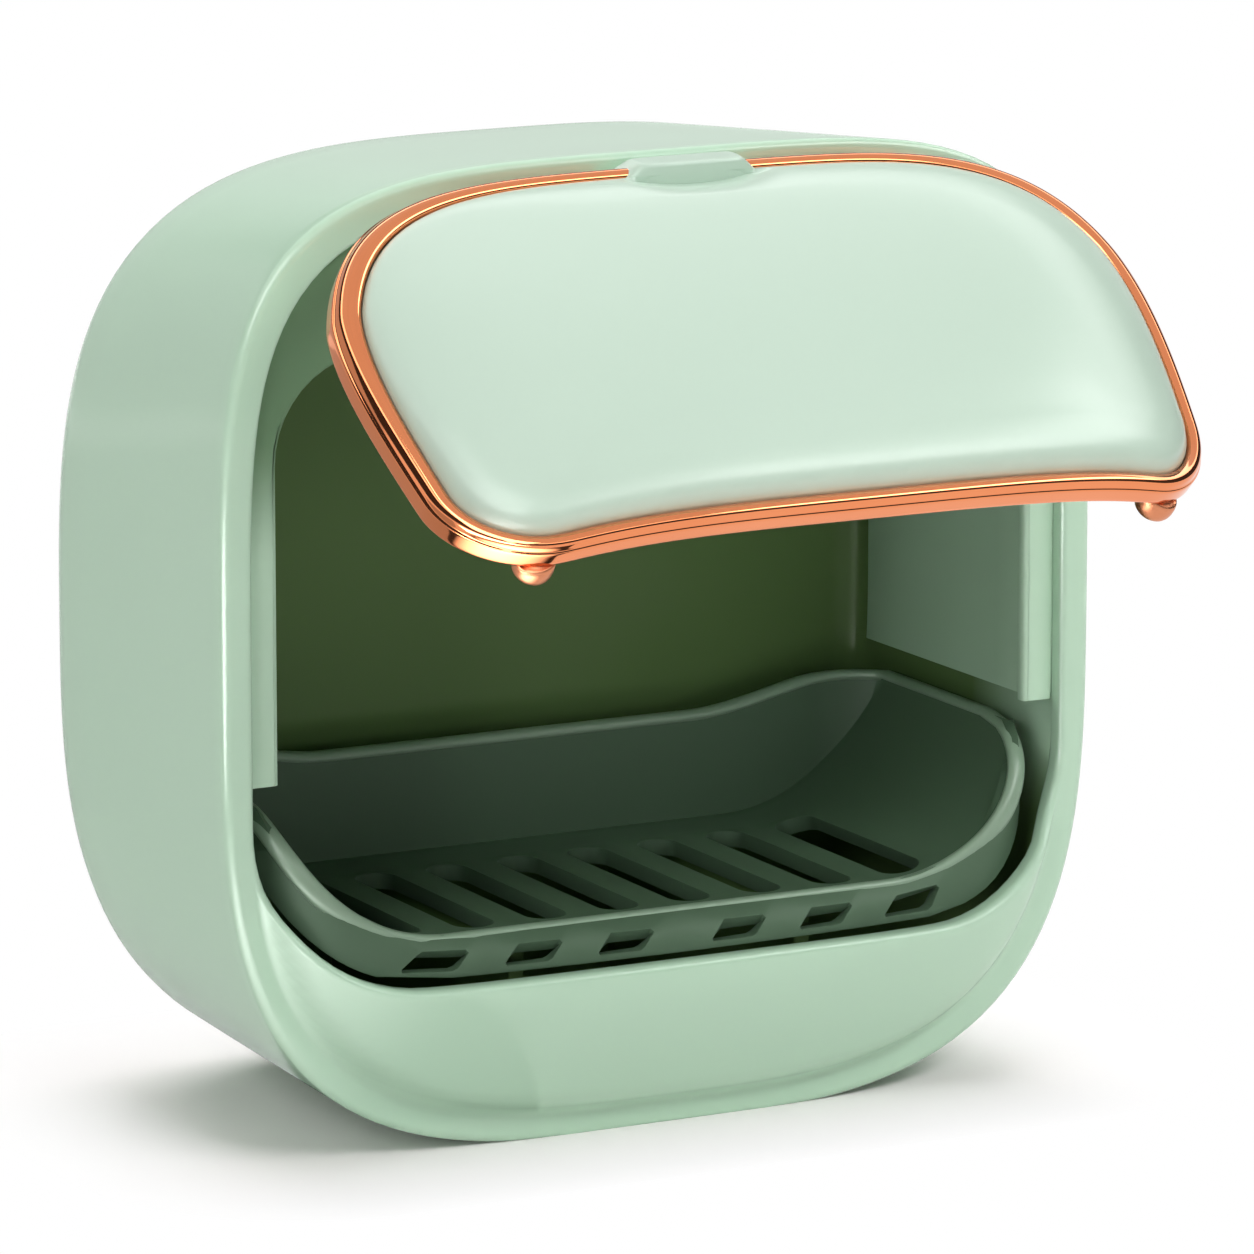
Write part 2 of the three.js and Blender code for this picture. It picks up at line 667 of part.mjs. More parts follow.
// Liner: an arch inside the opening with a front flange, open below
function makeLiner() {
  const outerInset = SIDE_WALL + LINER_CLEARANCE;
  const innerInset = outerInset + LINER_THICKNESS;
  const stations = [LINER_BACK, HOUSING_DEPTH * 0.5, FLANGE_FRONT];
  const layer = (inset) => skin(stations.map((y) => ({ y, ring: housingRing(y, inset) })));
  const spare = LINER_THICKNESS / 2;
  const hollow = skin([LINER_BACK + spare, HOUSING_DEPTH * 0.5, FLANGE_FRONT - spare].map(
    (y) => ({ y, ring: housingRing(y, innerInset) }),
  ));
  const shell = layer(outerInset).subtract(hollow);
  const flangeBack = FLANGE_FRONT + LINER_FLANGE_THICKNESS;
  const flangeOuter = prism(housingRing(flangeBack, outerInset), FLANGE_FRONT, flangeBack);
  const window = roundedRing(
    LINER_FLANGE_HALF_WIDTH,
    LINER_BOTTOM - LINER_FLANGE_BELOW,
    LINER_FLANGE_TOP,
    LINER_FLANGE_CORNER,
  );
  const flange = flangeOuter.subtract(prism(window, -BEYOND, BEYOND));
  const lower = block(-BEYOND, BEYOND, -BEYOND, BEYOND, -BEYOND, LINER_BOTTOM);
  const screwHoles = linerScrewPlaces().map((screw) => linerScrew(screw, SCREW_CLEARANCE));
  return cut(shell.add(flange), [lower, ...screwHoles]);
}

// Drain tray: a trough with a bowed front, rounded shoulders, drop apron, back wall and slots
function trayPlan(front) {
  const half = TRAY_HALF_WIDTH;
  const back = TRAY_BACK_CORNER;
  const c = TRAY_FRONT_CORNER;
  const bow = ([x, y]) => [x, y + (x * x) / (2 * TRAY_FRONT_ARC_RADIUS)];
  return [
    ...arcPoints(-half + c, front + c, c, 180, 270).map(bow),
    ...[-0.5, 0, 0.5].map((share) => bow([share * (half - c), front])),
    ...arcPoints(half - c, front + c, c, 270, 360).map(bow),
    ...arcPoints(half - back, TRAY_BACK - back, back, 0, 90),
    ...arcPoints(-half + back, TRAY_BACK - back, back, 90, 180),
  ];
}

function makeTray() {
  const above = TRAY_TOP + TRAY_CORNER;
  const outer = troughRing(TRAY_HALF_WIDTH, TRAY_FLOOR_UNDER, above, TRAY_CORNER);
  const inner = troughRing(
    TRAY_HALF_WIDTH - TRAY_WALL,
    TRAY_FLOOR_TOP,
    above + TRAY_WALL,
    TRAY_CORNER - TRAY_WALL,
  );
  const apronRing = troughRing(TRAY_HALF_WIDTH, APRON_BOTTOM, above, APRON_CORNER);
  const overTop = block(-BEYOND, BEYOND, -BEYOND, BEYOND, TRAY_TOP, BEYOND);
  const plan = column(trayPlan(TRAY_FRONT), 0, BEYOND);
  const behindApron = column(trayPlan(TRAY_FRONT + APRON_THICKNESS), 0, BEYOND);
  const trough = prism(outer, -BEYOND, BEYOND).intersect(plan);
  const apron = prism(apronRing, -BEYOND, BEYOND).intersect(plan).subtract(behindApron);
  const backInside = TRAY_BACK - TRAY_WALL;
  const basin = prism(inner, -BEYOND, backInside);
  const backTop = block(-BEYOND, BEYOND, backInside - TRAY_REST_GAP, BEYOND, TRAY_BACK_TOP, BEYOND);
  const shoulderLow = TRAY_TOP - TRAY_SHOULDER_ROUND;
  const shoulder = bar([
    ...arcPoints(TRAY_SHOULDER_Y, shoulderLow, TRAY_SHOULDER_ROUND, 90, 180),
    [-BEYOND, shoulderLow],
    [-BEYOND, BEYOND],
    [TRAY_SHOULDER_Y, BEYOND],
  ], -BEYOND, BEYOND);
  const slots = [];
  const first = (-(FLOOR_SLOT_COUNT - 1) * FLOOR_SLOT_PITCH) / 2;
  for (let i = 0; i < FLOOR_SLOT_COUNT; i += 1) {
    const x = first + i * FLOOR_SLOT_PITCH;
    const ring = slotRing(x, FLOOR_SLOT_FRONT, FLOOR_SLOT_BACK, FLOOR_SLOT_WIDTH / 2);
    slots.push(column(ring, 0, TRAY_FLOOR_TOP + FLOOR_SLOT_CUT));
  }
  SIDES.forEach(([, side]) => APRON_SLOT_X.forEach((offset) => {
    const x = side * offset;
    const half = APRON_SLOT_WIDTH / 2;
    const low = APRON_SLOT_Z - APRON_SLOT_HEIGHT / 2;
    const high = APRON_SLOT_Z + APRON_SLOT_HEIGHT / 2;
    const ring = [
      [x - half, low],
      [x + half - APRON_SLOT_LEAN, low],
      [x + half, high],
      [x - half + APRON_SLOT_LEAN, high],
    ];
    slots.push(prism(ring, -BEYOND, TRAY_FRONT + APRON_THICKNESS * 2.5));
  }));
  return cut(trough.add(apron), [basin, overTop, backTop, shoulder, ...slots]);
}

// Lid parts, modelled closed and then moved onto the hinge axis
function earRod(side, grow) {
  const inner = EAR_INNER - grow;
  const outer = grow > 0 ? LUG_OUTER + grow : EAR_OUTER;
  const x0 = side > 0 ? inner : -outer;
  const x1 = side > 0 ? outer : -inner;
  return rodAlongX(x0, x1, HINGE_Y, HINGE_Z, KNUCKLE_RADIUS + grow);
}

// Room in the frame plate for the washer and the housing lug beside an ear
function lugRoom(side) {
  const outer = LUG_OUTER + KNUCKLE_CLEARANCE;
  const x0 = side > 0 ? EAR_OUTER : -outer;
  const x1 = side > 0 ? outer : -EAR_OUTER;
  return rodAlongX(x0, x1, HINGE_Y, HINGE_Z, KNUCKLE_RADIUS + KNUCKLE_CLEARANCE);
}

// The web that carries an ear: the frame plate carried on up to the hinge axis
function earRoot(side) {
  const x0 = side > 0 ? EAR_INNER : -EAR_OUTER;
  const x1 = side > 0 ? EAR_OUTER : -EAR_INNER;
  const web = block(x0, x1, -BEYOND, BEYOND, HINGE_Z - EAR_ROOT_DROP, HINGE_Z);
  return web.intersect(lidSlab(FRAME_FRONT, FRAME_BACK));
}

// Sets a form made on the Y axis behind the lid, measured from the back of the ring
function behindRing(geometry, side) {
  const z = LID_BOTTOM + NUB_RISE;
  geometry.translate(side * NUB_X, lidY(NUB_X, z) + RING_BACK, z);
  return toSolid(geometry);
}

function nubRod(side, radius, front, back) {
  const geometry = new THREE.CylinderGeometry(radius, radius, back - front, 24);
  geometry.translate(0, (front + back) / 2, 0);
  return behindRing(geometry, side);
}

function nubStem(side, grow) {
  return nubRod(side, NUB_STEM_RADIUS + grow, -NUB_STEM_LENGTH - grow, NUB_ROUND);
}

function nubSolid(side) {
  const profile = [[0, -NUB_ROUND], [NUB_RADIUS, -NUB_ROUND]];
  for (let step = 0; step <= 6; step += 1) {
    const turn = (step / 6) * Math.PI / 2;
    const inward = NUB_ROUND * (1 - Math.cos(turn));
    profile.push([NUB_RADIUS - inward, NUB_LENGTH - NUB_ROUND + NUB_ROUND * Math.sin(turn)]);
  }
  profile.push([0, NUB_LENGTH]);
  const points = profile.map(([radius, height]) => new THREE.Vector2(radius, height));
  const head = behindRing(new THREE.LatheGeometry(points, 24), side);
  return head.subtract(lidSlab(-BEYOND, RING_BACK + NUB_CLEARANCE)).add(nubStem(side, 0));
}

function lidScrewPlaces() {
  const places = [];
  SIDES.forEach(([word, side]) => LID_SCREWS.forEach(([x, z], row) => {
    places.push({
      name: `lid_screw_${word}_${row === 0 ? "lower" : "upper"}`,
      place: new THREE.Vector3(side * x, lidY(x, z) + FRAME_BACK - LID_SCREW_SINK, z),
      direction: new THREE.Vector3(0, -1, 0),
    });
  }));
  return places;
}

function lidScrew({ place, direction }, grow) {
  return screwSolid(LID_SCREW_LENGTH, grow, direction, place);
}

function tabRing(grow) {
  return [
    [-TAB_BASE_HALF - grow, TAB_BASE_Z],
    [TAB_BASE_HALF + grow, TAB_BASE_Z],
    [TAB_BASE_HALF + grow, TAB_BASE_Z + TAB_SHOULDER],
    [TAB_TOP_HALF + TAB_ROUND_X + grow, TAB_TOP_Z - TAB_ROUND_Z + grow],
    [TAB_TOP_HALF + grow, TAB_TOP_Z + grow],
    [-TAB_TOP_HALF - grow, TAB_TOP_Z + grow],
    [-TAB_TOP_HALF - TAB_ROUND_X - grow, TAB_TOP_Z - TAB_ROUND_Z + grow],
    [-TAB_BASE_HALF - grow, TAB_BASE_Z + TAB_SHOULDER],
  ];
}

function makeRing() {
  const band = prism(lidRing(0), -BEYOND, BEYOND).subtract(prism(lidRing(RING_WIDTH), -BEYOND, BEYOND));
  const solid = band.intersect(lidSlab(-RING_PROUD, RING_BACK));
  const tabGap = prism(tabRing(TAB_GAP), -BEYOND, BEYOND);
  const ears = SIDES.map(([, side]) => earRod(side, KNUCKLE_CLEARANCE));
  const stems = SIDES.map(([, side]) => nubStem(side, NUB_CLEARANCE));
  return cut(solid, [tabGap, ...ears, ...stems]);
}

function makePanel() {
  const inside = prism(lidRing(RING_WIDTH + PANEL_GAP), -BEYOND, BEYOND);
  const face = inside.intersect(lidSlab(0, PANEL_THICKNESS));
  const tabFace = lidSlab(-RING_PROUD, TAB_THICKNESS - RING_PROUD);
  const tab = prism(tabRing(0), -BEYOND, BEYOND).intersect(tabFace);
  const ears = SIDES.map(([, side]) => earRod(side, KNUCKLE_CLEARANCE));
  const holes = lidScrewPlaces().map((screw) => lidScrew(screw, SCREW_CLEARANCE));
  return cut(face.add(tab), [...ears, ...holes]);
}

function makeFrame() {
  const inside = prism(lidRing(FRAME_INSET), -BEYOND, BEYOND);
  const whole = inside.intersect(lidSlab(FRAME_FRONT, FRAME_BACK));
  const rooms = SIDES.flatMap(([, side]) => [
    lugRoom(side),
    nubRod(side, NUB_RADIUS + NUB_ROOM, -NUB_LENGTH, 2 * NUB_LENGTH),
  ]);
  const plate = cut(whole, rooms);
  const ahead = lidSlab(-BEYOND, FRAME_FRONT);
  const pads = SIDES.map(([, side]) => {
    const x0 = side > 0 ? STOP_PAD_INNER : -STOP_PAD_OUTER;
    const x1 = side > 0 ? STOP_PAD_OUTER : -STOP_PAD_INNER;
    const back = FLANGE_FRONT - STOP_PAD_GAP;
    return block(x0, x1, -FRONT_BULGE, back, STOP_PAD_LOW, STOP_PAD_HIGH).subtract(ahead);
  });
  const ears = SIDES.flatMap(([, side]) => [earRod(side, 0), earRoot(side)]);
  const holes = lidScrewPlaces().map((screw) => lidScrew(screw, SCREW_CLEARANCE));
  const pinHoles = SIDES.map(([, side]) => hingeHole(side));
  return cut(unite([plate, ...pads, ...ears]), [...holes, ...pinHoles]);
}

// Assembly
const soapDish = new THREE.Group();
soapDish.name = "soap_dish";
const standing = new THREE.Group();
standing.name = "standing";
standing.position.y = -HOUSING_DEPTH / 2;
soapDish.add(standing);
standing.add(part("housing_shell", makeHousing(), "mint"));
standing.add(part("inner_liner", makeLiner(), "mintLiner"));
linerScrewPlaces().forEach((screw) => {
  standing.add(part(screw.name, linerScrew(screw, 0), "steel"));
});
standing.add(part("drain_tray", makeTray(), "tray"));

const pad = prism(
  roundedRing(PAD_WIDTH / 2, PAD_Z - PAD_HEIGHT / 2, PAD_Z + PAD_HEIGHT / 2, PAD_CORNER),
  HOUSING_DEPTH - PAD_POCKET + PAD_REST_GAP,
  HOUSING_DEPTH - PAD_POCKET + PAD_THICKNESS,
);
standing.add(part("adhesive_pad", pad, "foam"));

SIDES.forEach(([word, side]) => {
  const x0 = side > 0 ? PIN_INNER : -PIN_OUTER;
  const x1 = side > 0 ? PIN_OUTER : -PIN_INNER;
  const pin = rodAlongX(x0, x1, HINGE_Y, HINGE_Z, PIN_RADIUS, 20);
  standing.add(part(`hinge_pin_${word}`, pin, "steel"));
  const middle = (side * (EAR_OUTER + LUG_INNER)) / 2;
  const half = WASHER_THICKNESS / 2;
  const disc = rodAlongX(middle - half, middle + half, HINGE_Y, HINGE_Z, WASHER_RADIUS);
  const bore = PIN_RADIUS + PIN_CLEARANCE;
  const hole = rodAlongX(-BEYOND, BEYOND, HINGE_Y, HINGE_Z, bore, 20);
  standing.add(part(`friction_washer_${word}`, disc.subtract(hole), "rubber"));
});

const lid = new THREE.Group();
lid.name = "lid";
lid.position.set(0, HINGE_Y, HINGE_Z);
lid.rotation.x = -radians(LID_OPEN_ANGLE);
standing.add(lid);

function lidPart(name, solid, finish) {
  const mesh = part(name, solid, finish);
  mesh.geometry.translate(0, -HINGE_Y, -HINGE_Z);
  lid.add(mesh);
}

lidPart("lid_frame", makeFrame(), "mintLiner");
lidPart("lid_trim_ring", makeRing(), "copper");
lidPart("lid_panel", makePanel(), "mintLid");
lidScrewPlaces().forEach((screw) => lidPart(screw.name, lidScrew(screw, 0), "steel"));
SIDES.forEach(([word, side]) => lidPart(`pull_nub_${word}`, nubSolid(side), "nub"));

export default soapDish;
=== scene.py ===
# %% [markdown]
# # A mint green soap dish with a flip-up lid
# The soap dish is a rounded upright box of moulded plastic with an open front. A domed lid
# with a copper coloured trim ring hangs from two small hinges under the top edge, and a
# slotted drain tray slides in above the low front wall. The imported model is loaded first,
# because every piece below sits where its solid sits and moves with the same body.

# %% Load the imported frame
import math

import bmesh
import bpy
from mathutils import Matrix, Vector


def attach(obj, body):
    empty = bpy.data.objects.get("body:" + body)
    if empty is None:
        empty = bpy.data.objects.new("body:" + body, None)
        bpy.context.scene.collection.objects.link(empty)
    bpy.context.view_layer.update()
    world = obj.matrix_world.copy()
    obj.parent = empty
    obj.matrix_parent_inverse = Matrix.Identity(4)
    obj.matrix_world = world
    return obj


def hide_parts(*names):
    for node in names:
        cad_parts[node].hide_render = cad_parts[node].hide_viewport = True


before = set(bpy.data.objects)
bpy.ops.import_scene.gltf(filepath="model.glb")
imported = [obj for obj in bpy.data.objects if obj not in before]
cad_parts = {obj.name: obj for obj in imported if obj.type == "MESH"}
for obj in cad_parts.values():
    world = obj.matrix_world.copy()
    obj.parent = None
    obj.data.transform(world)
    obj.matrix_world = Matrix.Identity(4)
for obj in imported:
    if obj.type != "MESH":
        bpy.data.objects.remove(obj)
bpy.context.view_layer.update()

# %% [markdown]
# ## Measures
# All sizes are in millimetres and measured from the plane of the front rim, the way the maker
# would draw the dish. One helper turns such a point into metres in the shared frame. The two
# outlines, of the housing and of the lid, are rounded squares (superellipses), so a few
# numbers give every loop of vertices that the skins are pulled through.

# %% Shared measures
MM = 0.001
RIM_Y = -30.0
HOUSING = {"width": 130.0, "height": 131.5, "depth": 60.0, "back_width": 129.0, "back_height": 127.0}
FRONT_POWER = {"low": 3.3, "high": 4.25}
BACK_POWER = {"low": 2.85, "high": 3.25}
BASE_CUT = 0.8
CENTRE_Z = (HOUSING["height"] - BASE_CUT) / 2
HALF_WIDTH = HOUSING["width"] / 2
HALF_HEIGHT = (HOUSING["height"] + BASE_CUT) / 2
ROUND = 192
SIDES = (-1, 1)
NAMED_SIDES = ((-1, "left"), (1, "right"))


def at(x, y, z):
    """A point in millimetres from the rim plane, as metres in the shared frame."""
    return Vector((x * MM, (y + RIM_Y) * MM, z * MM))


def lerp(a, b, t):
    return a + (b - a) * t


def between(start, end, share):
    """A point on the way from one (x, z) point to another."""
    return lerp(start[0], end[0], share), lerp(start[1], end[1], share)


def ease(low, high, value):
    """0 below low, 1 above high, and a soft S between them."""
    t = min(1.0, max(0.0, (value - low) / (high - low)))
    return t * t * (3 - 2 * t)


def turns(count):
    """Angles of points spread evenly round a circle."""
    return [2 * math.pi * k / count for k in range(count)]


def rounded_square(half_width, low, high, power_low, power_high, count):
    """A ring of (x, z) points on a superellipse."""
    ring = []
    for angle in turns(count):
        c, s = math.cos(angle), math.sin(angle)
        power = power_high if s >= 0 else power_low
        reach = (abs(c) ** power + abs(s) ** power) ** (-1 / power)
        ring.append((half_width * reach * c, (low + high) / 2 + (high - low) / 2 * reach * s))
    return ring


def housing_ring(y, inset):
    """The housing outline at a depth, moved inwards by an inset."""
    t = max(0.0, y) / HOUSING["depth"]
    half = lerp(HOUSING["width"], HOUSING["back_width"], t) / 2 - inset
    top = lerp(HOUSING["height"], HOUSING["back_height"], t) - inset
    low_power = lerp(FRONT_POWER["low"], BACK_POWER["low"], t)
    high_power = lerp(FRONT_POWER["high"], BACK_POWER["high"], t)
    return rounded_square(half, inset - BASE_CUT, top, low_power, high_power, ROUND)


print("housing outline", [round(v, 1) for v in housing_ring(0, 0)[ROUND // 8]], "mm at the corner")

# %% [markdown]
# ### Finding an edge
# The openings and the lid have outlines with both straight sides and rounded corners. Such an
# outline is a test that says whether a point lies inside it, and its loop is found by halving
# along rays from a middle point. Loops found along the same rays fit each other point by point.

# %% Edges along rays
FAR_REACH = 140.0
HALVINGS = 44


def outline_share(x, z):
    """0 in the middle of the front, 1 on the housing outline."""
    dz = z - CENTRE_Z
    power = FRONT_POWER["high" if dz >= 0 else "low"]
    return (abs(x / HALF_WIDTH) ** power + abs(dz / HALF_HEIGHT) ** power) ** (1 / power)


def inside_corner(over, beyond, corner):
    """Whether a point lies inside a rounded corner, measured outwards from the corner's centre."""
    return over <= 0 or beyond <= 0 or math.hypot(over, beyond) <= corner


def ray_to_edge(inside, origin, toward):
    """The last point along a ray from origin that is still inside a shape."""
    dx, dz = toward[0] - origin[0], toward[1] - origin[1]
    size = math.hypot(dx, dz)
    dx, dz = dx / size, dz / size
    near, far = 0.0, FAR_REACH
    for _ in range(HALVINGS):
        middle = (near + far) / 2
        if inside(origin[0] + dx * middle, origin[1] + dz * middle):
            near = middle
        else:
            far = middle
    return (origin[0] + dx * near, origin[1] + dz * near)


print("edges are found to", FAR_REACH / 2 ** HALVINGS, "mm")

# %% [markdown]
# ## Pulling a skin through loops
# A smooth moulded part is a row of closed loops. The first loop is a circle whose points are
# moved onto the outline, and each next loop is extruded from the last one and moved to its
# own place. A bar that closes on itself is bridged at the end, and a bowl is closed by
# merging its last loop to one point. This keeps all faces in clean rows of quads, which
# shade softly.

# %% Loop helpers
def loop_edges(bm, loop):
    return [bm.edges.get((a, b)) for a, b in zip(loop, loop[1:] + loop[:1])]


def set_places(loop, places):
    for vert, place in zip(loop, places):
        vert.co = place


def new_verts(made):
    """The vertices among the results of an operator."""
    return {item for item in made["geom"] if isinstance(item, bmesh.types.BMVert)}


def first_loop(bm, places):
    """A circle whose points are moved, one after the other round it, onto their places."""
    start = bmesh.ops.create_circle(bm, segments=len(places), radius=0.01)["verts"][0]
    loop = [start, start.link_edges[0].other_vert(start)]
    while len(loop) < len(places):
        ends = [edge.other_vert(loop[-1]) for edge in loop[-1].link_edges]
        loop.append(next(vert for vert in ends if vert is not loop[-2]))
    set_places(loop, places)
    return loop


def pull_loop(bm, loop, places):
    """Extrudes a loop and sets the new one on its places."""
    fresh = new_verts(bmesh.ops.extrude_edge_only(bm, edges=loop_edges(bm, loop)))
    ordered = []
    for vert in loop:
        ends = [edge.other_vert(vert) for edge in vert.link_edges]
        ordered.append(next(end for end in ends if end in fresh))
    set_places(ordered, places)
    return ordered


def close_loop(bm, loop, place):
    """Draws a loop together into one point."""
    last = pull_loop(bm, loop, [vert.co.lerp(place, 0.5) for vert in loop])
    tip = pull_loop(bm, last, [place] * len(loop))
    bmesh.ops.pointmerge(bm, verts=tip, merge_co=place)


def skin_through(bm, rows, start=None, end=None, joined=False):
    """A skin through rows of places, closed to a point at either end or joined to itself."""
    first = first_loop(bm, rows[0])
    last = first
    for places in rows[1:]:
        last = pull_loop(bm, last, places)
    if joined:
        bmesh.ops.bridge_loops(bm, edges=loop_edges(bm, last) + loop_edges(bm, first))
    if end is not None:
        close_loop(bm, last, end)
    if start is not None:
        close_loop(bm, first, start)
    return last


# %% [markdown]
# ### Blocks, rods and finished pieces
# Lugs, ribs and ears are plain solids with rounded edges. When a shape is complete its points
# are merged and its normals turned outwards, and it becomes a piece that rides on one of the
# three bodies and stands for its solid.

# %% Blocks, rods and pieces
def span(side, near, far):
    """The two ends in x of something on one side, the lower one first."""
    return sorted((side * near, side * far))


def round_edges(bm, edges, width, clamp=False):
    bmesh.ops.bevel(bm, geom=edges, offset=width * MM, segments=3, profile=0.5, affect="EDGES",
                    material=-1, clamp_overlap=clamp)


def soft_block(bm, low, high, edge):
    """A box between two corners with all its edges rounded."""
    made = bmesh.ops.create_cube(bm, size=1.0)
    middle = (Vector(low) + Vector(high)) / 2
    size = Vector(high) - Vector(low)
    for vert in made["verts"]:
        vert.co = at(*(middle[k] + vert.co[k] * size[k] for k in range(3)))
    round_edges(bm, list(dict.fromkeys(e for vert in made["verts"] for e in vert.link_edges)), edge)


def soft_rod(bm, x0, x1, y, z, radius, edge):
    """A rod along x with rounded rims."""
    rows = []
    for x, r in ((x0, radius - edge), (x0 + edge * 0.3, radius - edge * 0.3), (x0 + edge, radius),
                 (x1 - edge, radius), (x1 - edge * 0.3, radius - edge * 0.3), (x1, radius - edge)):
        rows.append([at(x, y + r * math.cos(a), z + r * math.sin(a)) for a in turns(32)])
    skin_through(bm, rows, start=at(x0, y, z), end=at(x1, y, z))


def as_object(bm, name, material, smooth=True, sharp=None):
    """Turns a bmesh into an object of one material."""
    mesh = bpy.data.meshes.new(name)
    bm.to_mesh(mesh)
    bm.free()
    if smooth:
        mesh.polygons.foreach_set("use_smooth", [True] * len(mesh.polygons))
    if sharp:
        mesh.set_sharp_from_angle(angle=math.radians(sharp))
    mesh.materials.append(material)
    piece = bpy.data.objects.new(name, mesh)
    bpy.context.scene.collection.objects.link(piece)
    return piece


def finish_piece(bm, name, body, material, nodes, sharp=None):
    """Turns a bmesh into a piece that rides on a body and stands for its solids."""
    bmesh.ops.remove_doubles(bm, verts=bm.verts, dist=1e-6)
    bmesh.ops.recalc_face_normals(bm, faces=bm.faces)
    piece = as_object(bm, name, material, sharp=sharp)
    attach(piece, body)
    if nodes:
        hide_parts(*nodes)
    print(name, "faces", len(piece.data.polygons), "on", body)
    return piece


# %% [markdown]
# ## Shader helpers
# Every finish is procedural and runs on the coordinates of its own piece. A few helpers make
# the nodes that come back in all of them: a noise, a range that a noise is spread over, a mix
# of two close colours, and a bump.

# %% Shader helpers
def linear(red, green, blue):
    """A screen colour from 0 to 255 as the linear values that the shader takes."""
    def channel(v):
        v /= 255
        return v / 12.92 if v <= 0.04045 else ((v + 0.055) / 1.055) ** 2.4
    return (channel(red), channel(green), channel(blue), 1.0)


def feed(tree, node, inputs):
    """Sets the inputs of a node to values, or links them to sockets."""
    for name, value in inputs.items():
        if isinstance(value, bpy.types.NodeSocket):
            tree.links.new(value, node.inputs[name])
        else:
            node.inputs[name].default_value = value


def add_node(tree, kind, inputs, output):
    """One output of a new node that is fed with inputs."""
    node = tree.nodes.new("ShaderNode" + kind)
    feed(tree, node, inputs)
    return node.outputs[output]


def new_material(name):
    """A material with its node tree, its shader and the coordinates of its object."""
    material = bpy.data.materials.new(name)
    material.use_nodes = True
    tree = material.node_tree
    return material, tree, tree.nodes["Principled BSDF"], add_node(tree, "TexCoord", {}, "Object")


def noise(tree, coords, scale, detail):
    return add_node(tree, "TexNoise", {"Scale": scale, "Detail": detail, "Vector": coords}, "Fac")


def spread(tree, value, low, high, source=(0.3, 0.7)):
    """Maps a noise onto a range of values."""
    limits = {"From Min": source[0], "From Max": source[1], "To Min": low, "To Max": high}
    return add_node(tree, "MapRange", {"Value": value, **limits}, "Result")


def two_tones(tree, value, dark, light):
    """Mixes two colours by a noise."""
    node = tree.nodes.new("ShaderNodeValToRGB")
    for element, position, colour in zip(node.color_ramp.elements, (0.3, 0.7), (dark, light)):
        element.position, element.color = position, colour
    feed(tree, node, {"Fac": value})
    return node.outputs["Color"]


def bumped(tree, value, strength, distance):
    return add_node(tree, "Bump", {"Strength": strength, "Distance": distance, "Height": value}, "Normal")


# %% [markdown]
# ## Moulded plastic
# The shells are satin polypropylene: an even mint colour, a soft gloss, and under a lamp a
# hint of flow lines and a very fine orange peel from the mould. Two noises mix two close
# greens and shift the roughness, and a third, much finer one gives the bump. Where a skin
# carries a value called inside, the colour goes over to a darker, duller pair and the sheen
# drops: painted shade for the shadowed inside of the box. The values that stay the same all
# over are set on the shader itself.

# %% Plastic materials
FLOW_SCALE, HAZE_SCALE, PEEL_SCALE = 14.0, 20.0, 1600.0
PEEL_DEPTH = 0.00012
HAZE = 0.012
PAINTED_SHADE_SHEEN = 0.06
PLASTIC_IOR = 1.49


def moulded_plastic(name, dark, light, gloss, peel=0.012, sheen=0.5, inside=None):
    material, tree, shader, coords = new_material(name)
    flow = noise(tree, coords, FLOW_SCALE, 1.0)
    tone = two_tones(tree, flow, linear(*dark), linear(*light))
    # Painted shade: the inside value mixes in the darker colour pair and lowers the sheen.
    if inside:
        node = tree.nodes.new("ShaderNodeAttribute")
        node.attribute_name = "inside"
        depth = node.outputs["Fac"]
        painted_shade_tone = two_tones(tree, flow, *(linear(*colour) for colour in inside))
        tone = add_node(tree, "MixRGB", {"Fac": depth, "Color1": tone, "Color2": painted_shade_tone}, "Color")
        sheen = spread(tree, depth, sheen, PAINTED_SHADE_SHEEN, (0.0, 1.0))
    haze = spread(tree, noise(tree, coords, HAZE_SCALE, 1.0), gloss - HAZE, gloss + HAZE)
    skin = bumped(tree, noise(tree, coords, PEEL_SCALE, 1.0), peel, PEEL_DEPTH)
    feed(tree, shader, {"Base Color": tone, "Roughness": haze, "Normal": skin,
                        "Specular IOR Level": sheen, "IOR": PLASTIC_IOR})
    return material


# The inside pairs of the housing and the liner are painted shade: dark greens for their shadowed inside.
mint = moulded_plastic("mint_satin", (179, 210, 185), (181, 212, 187), 0.16,
                       inside=((92, 118, 72), (95, 121, 75)))
mint_lid = moulded_plastic("mint_lid_satin", (182, 203, 187), (184, 205, 189), 0.26)
mint_liner = moulded_plastic("mint_liner_satin", (182, 212, 187), (184, 214, 189), 0.5, sheen=0.15,
                             inside=((95, 127, 92), (98, 130, 95)))
tray_green = moulded_plastic("tray_deep_green", (76, 99, 78), (79, 102, 81), 0.45, peel=0.03, sheen=0.2)
# The rim's lighter green is a painted highlight for the light that its thin edge catches.
rim_painted_highlight = moulded_plastic("tray_rim_painted_highlight", (128, 152, 130), (131, 155, 133), 0.3)
print("plastics", [m.name for m in (mint, mint_lid, mint_liner, tray_green, rim_painted_highlight)])

# %% [markdown]
# ## Plated trim, steel, rubber and foam
# The trim ring and the two pull nubs are plated in polished copper, so they mostly show what
# stands round them; a faint long-wave noise in the roughness keeps the reflections from
# looking drawn. The small fasteners are plain steel with fine turned lines, the washers
# dark rubber, and the pad on the back a white foam with tiny cells.

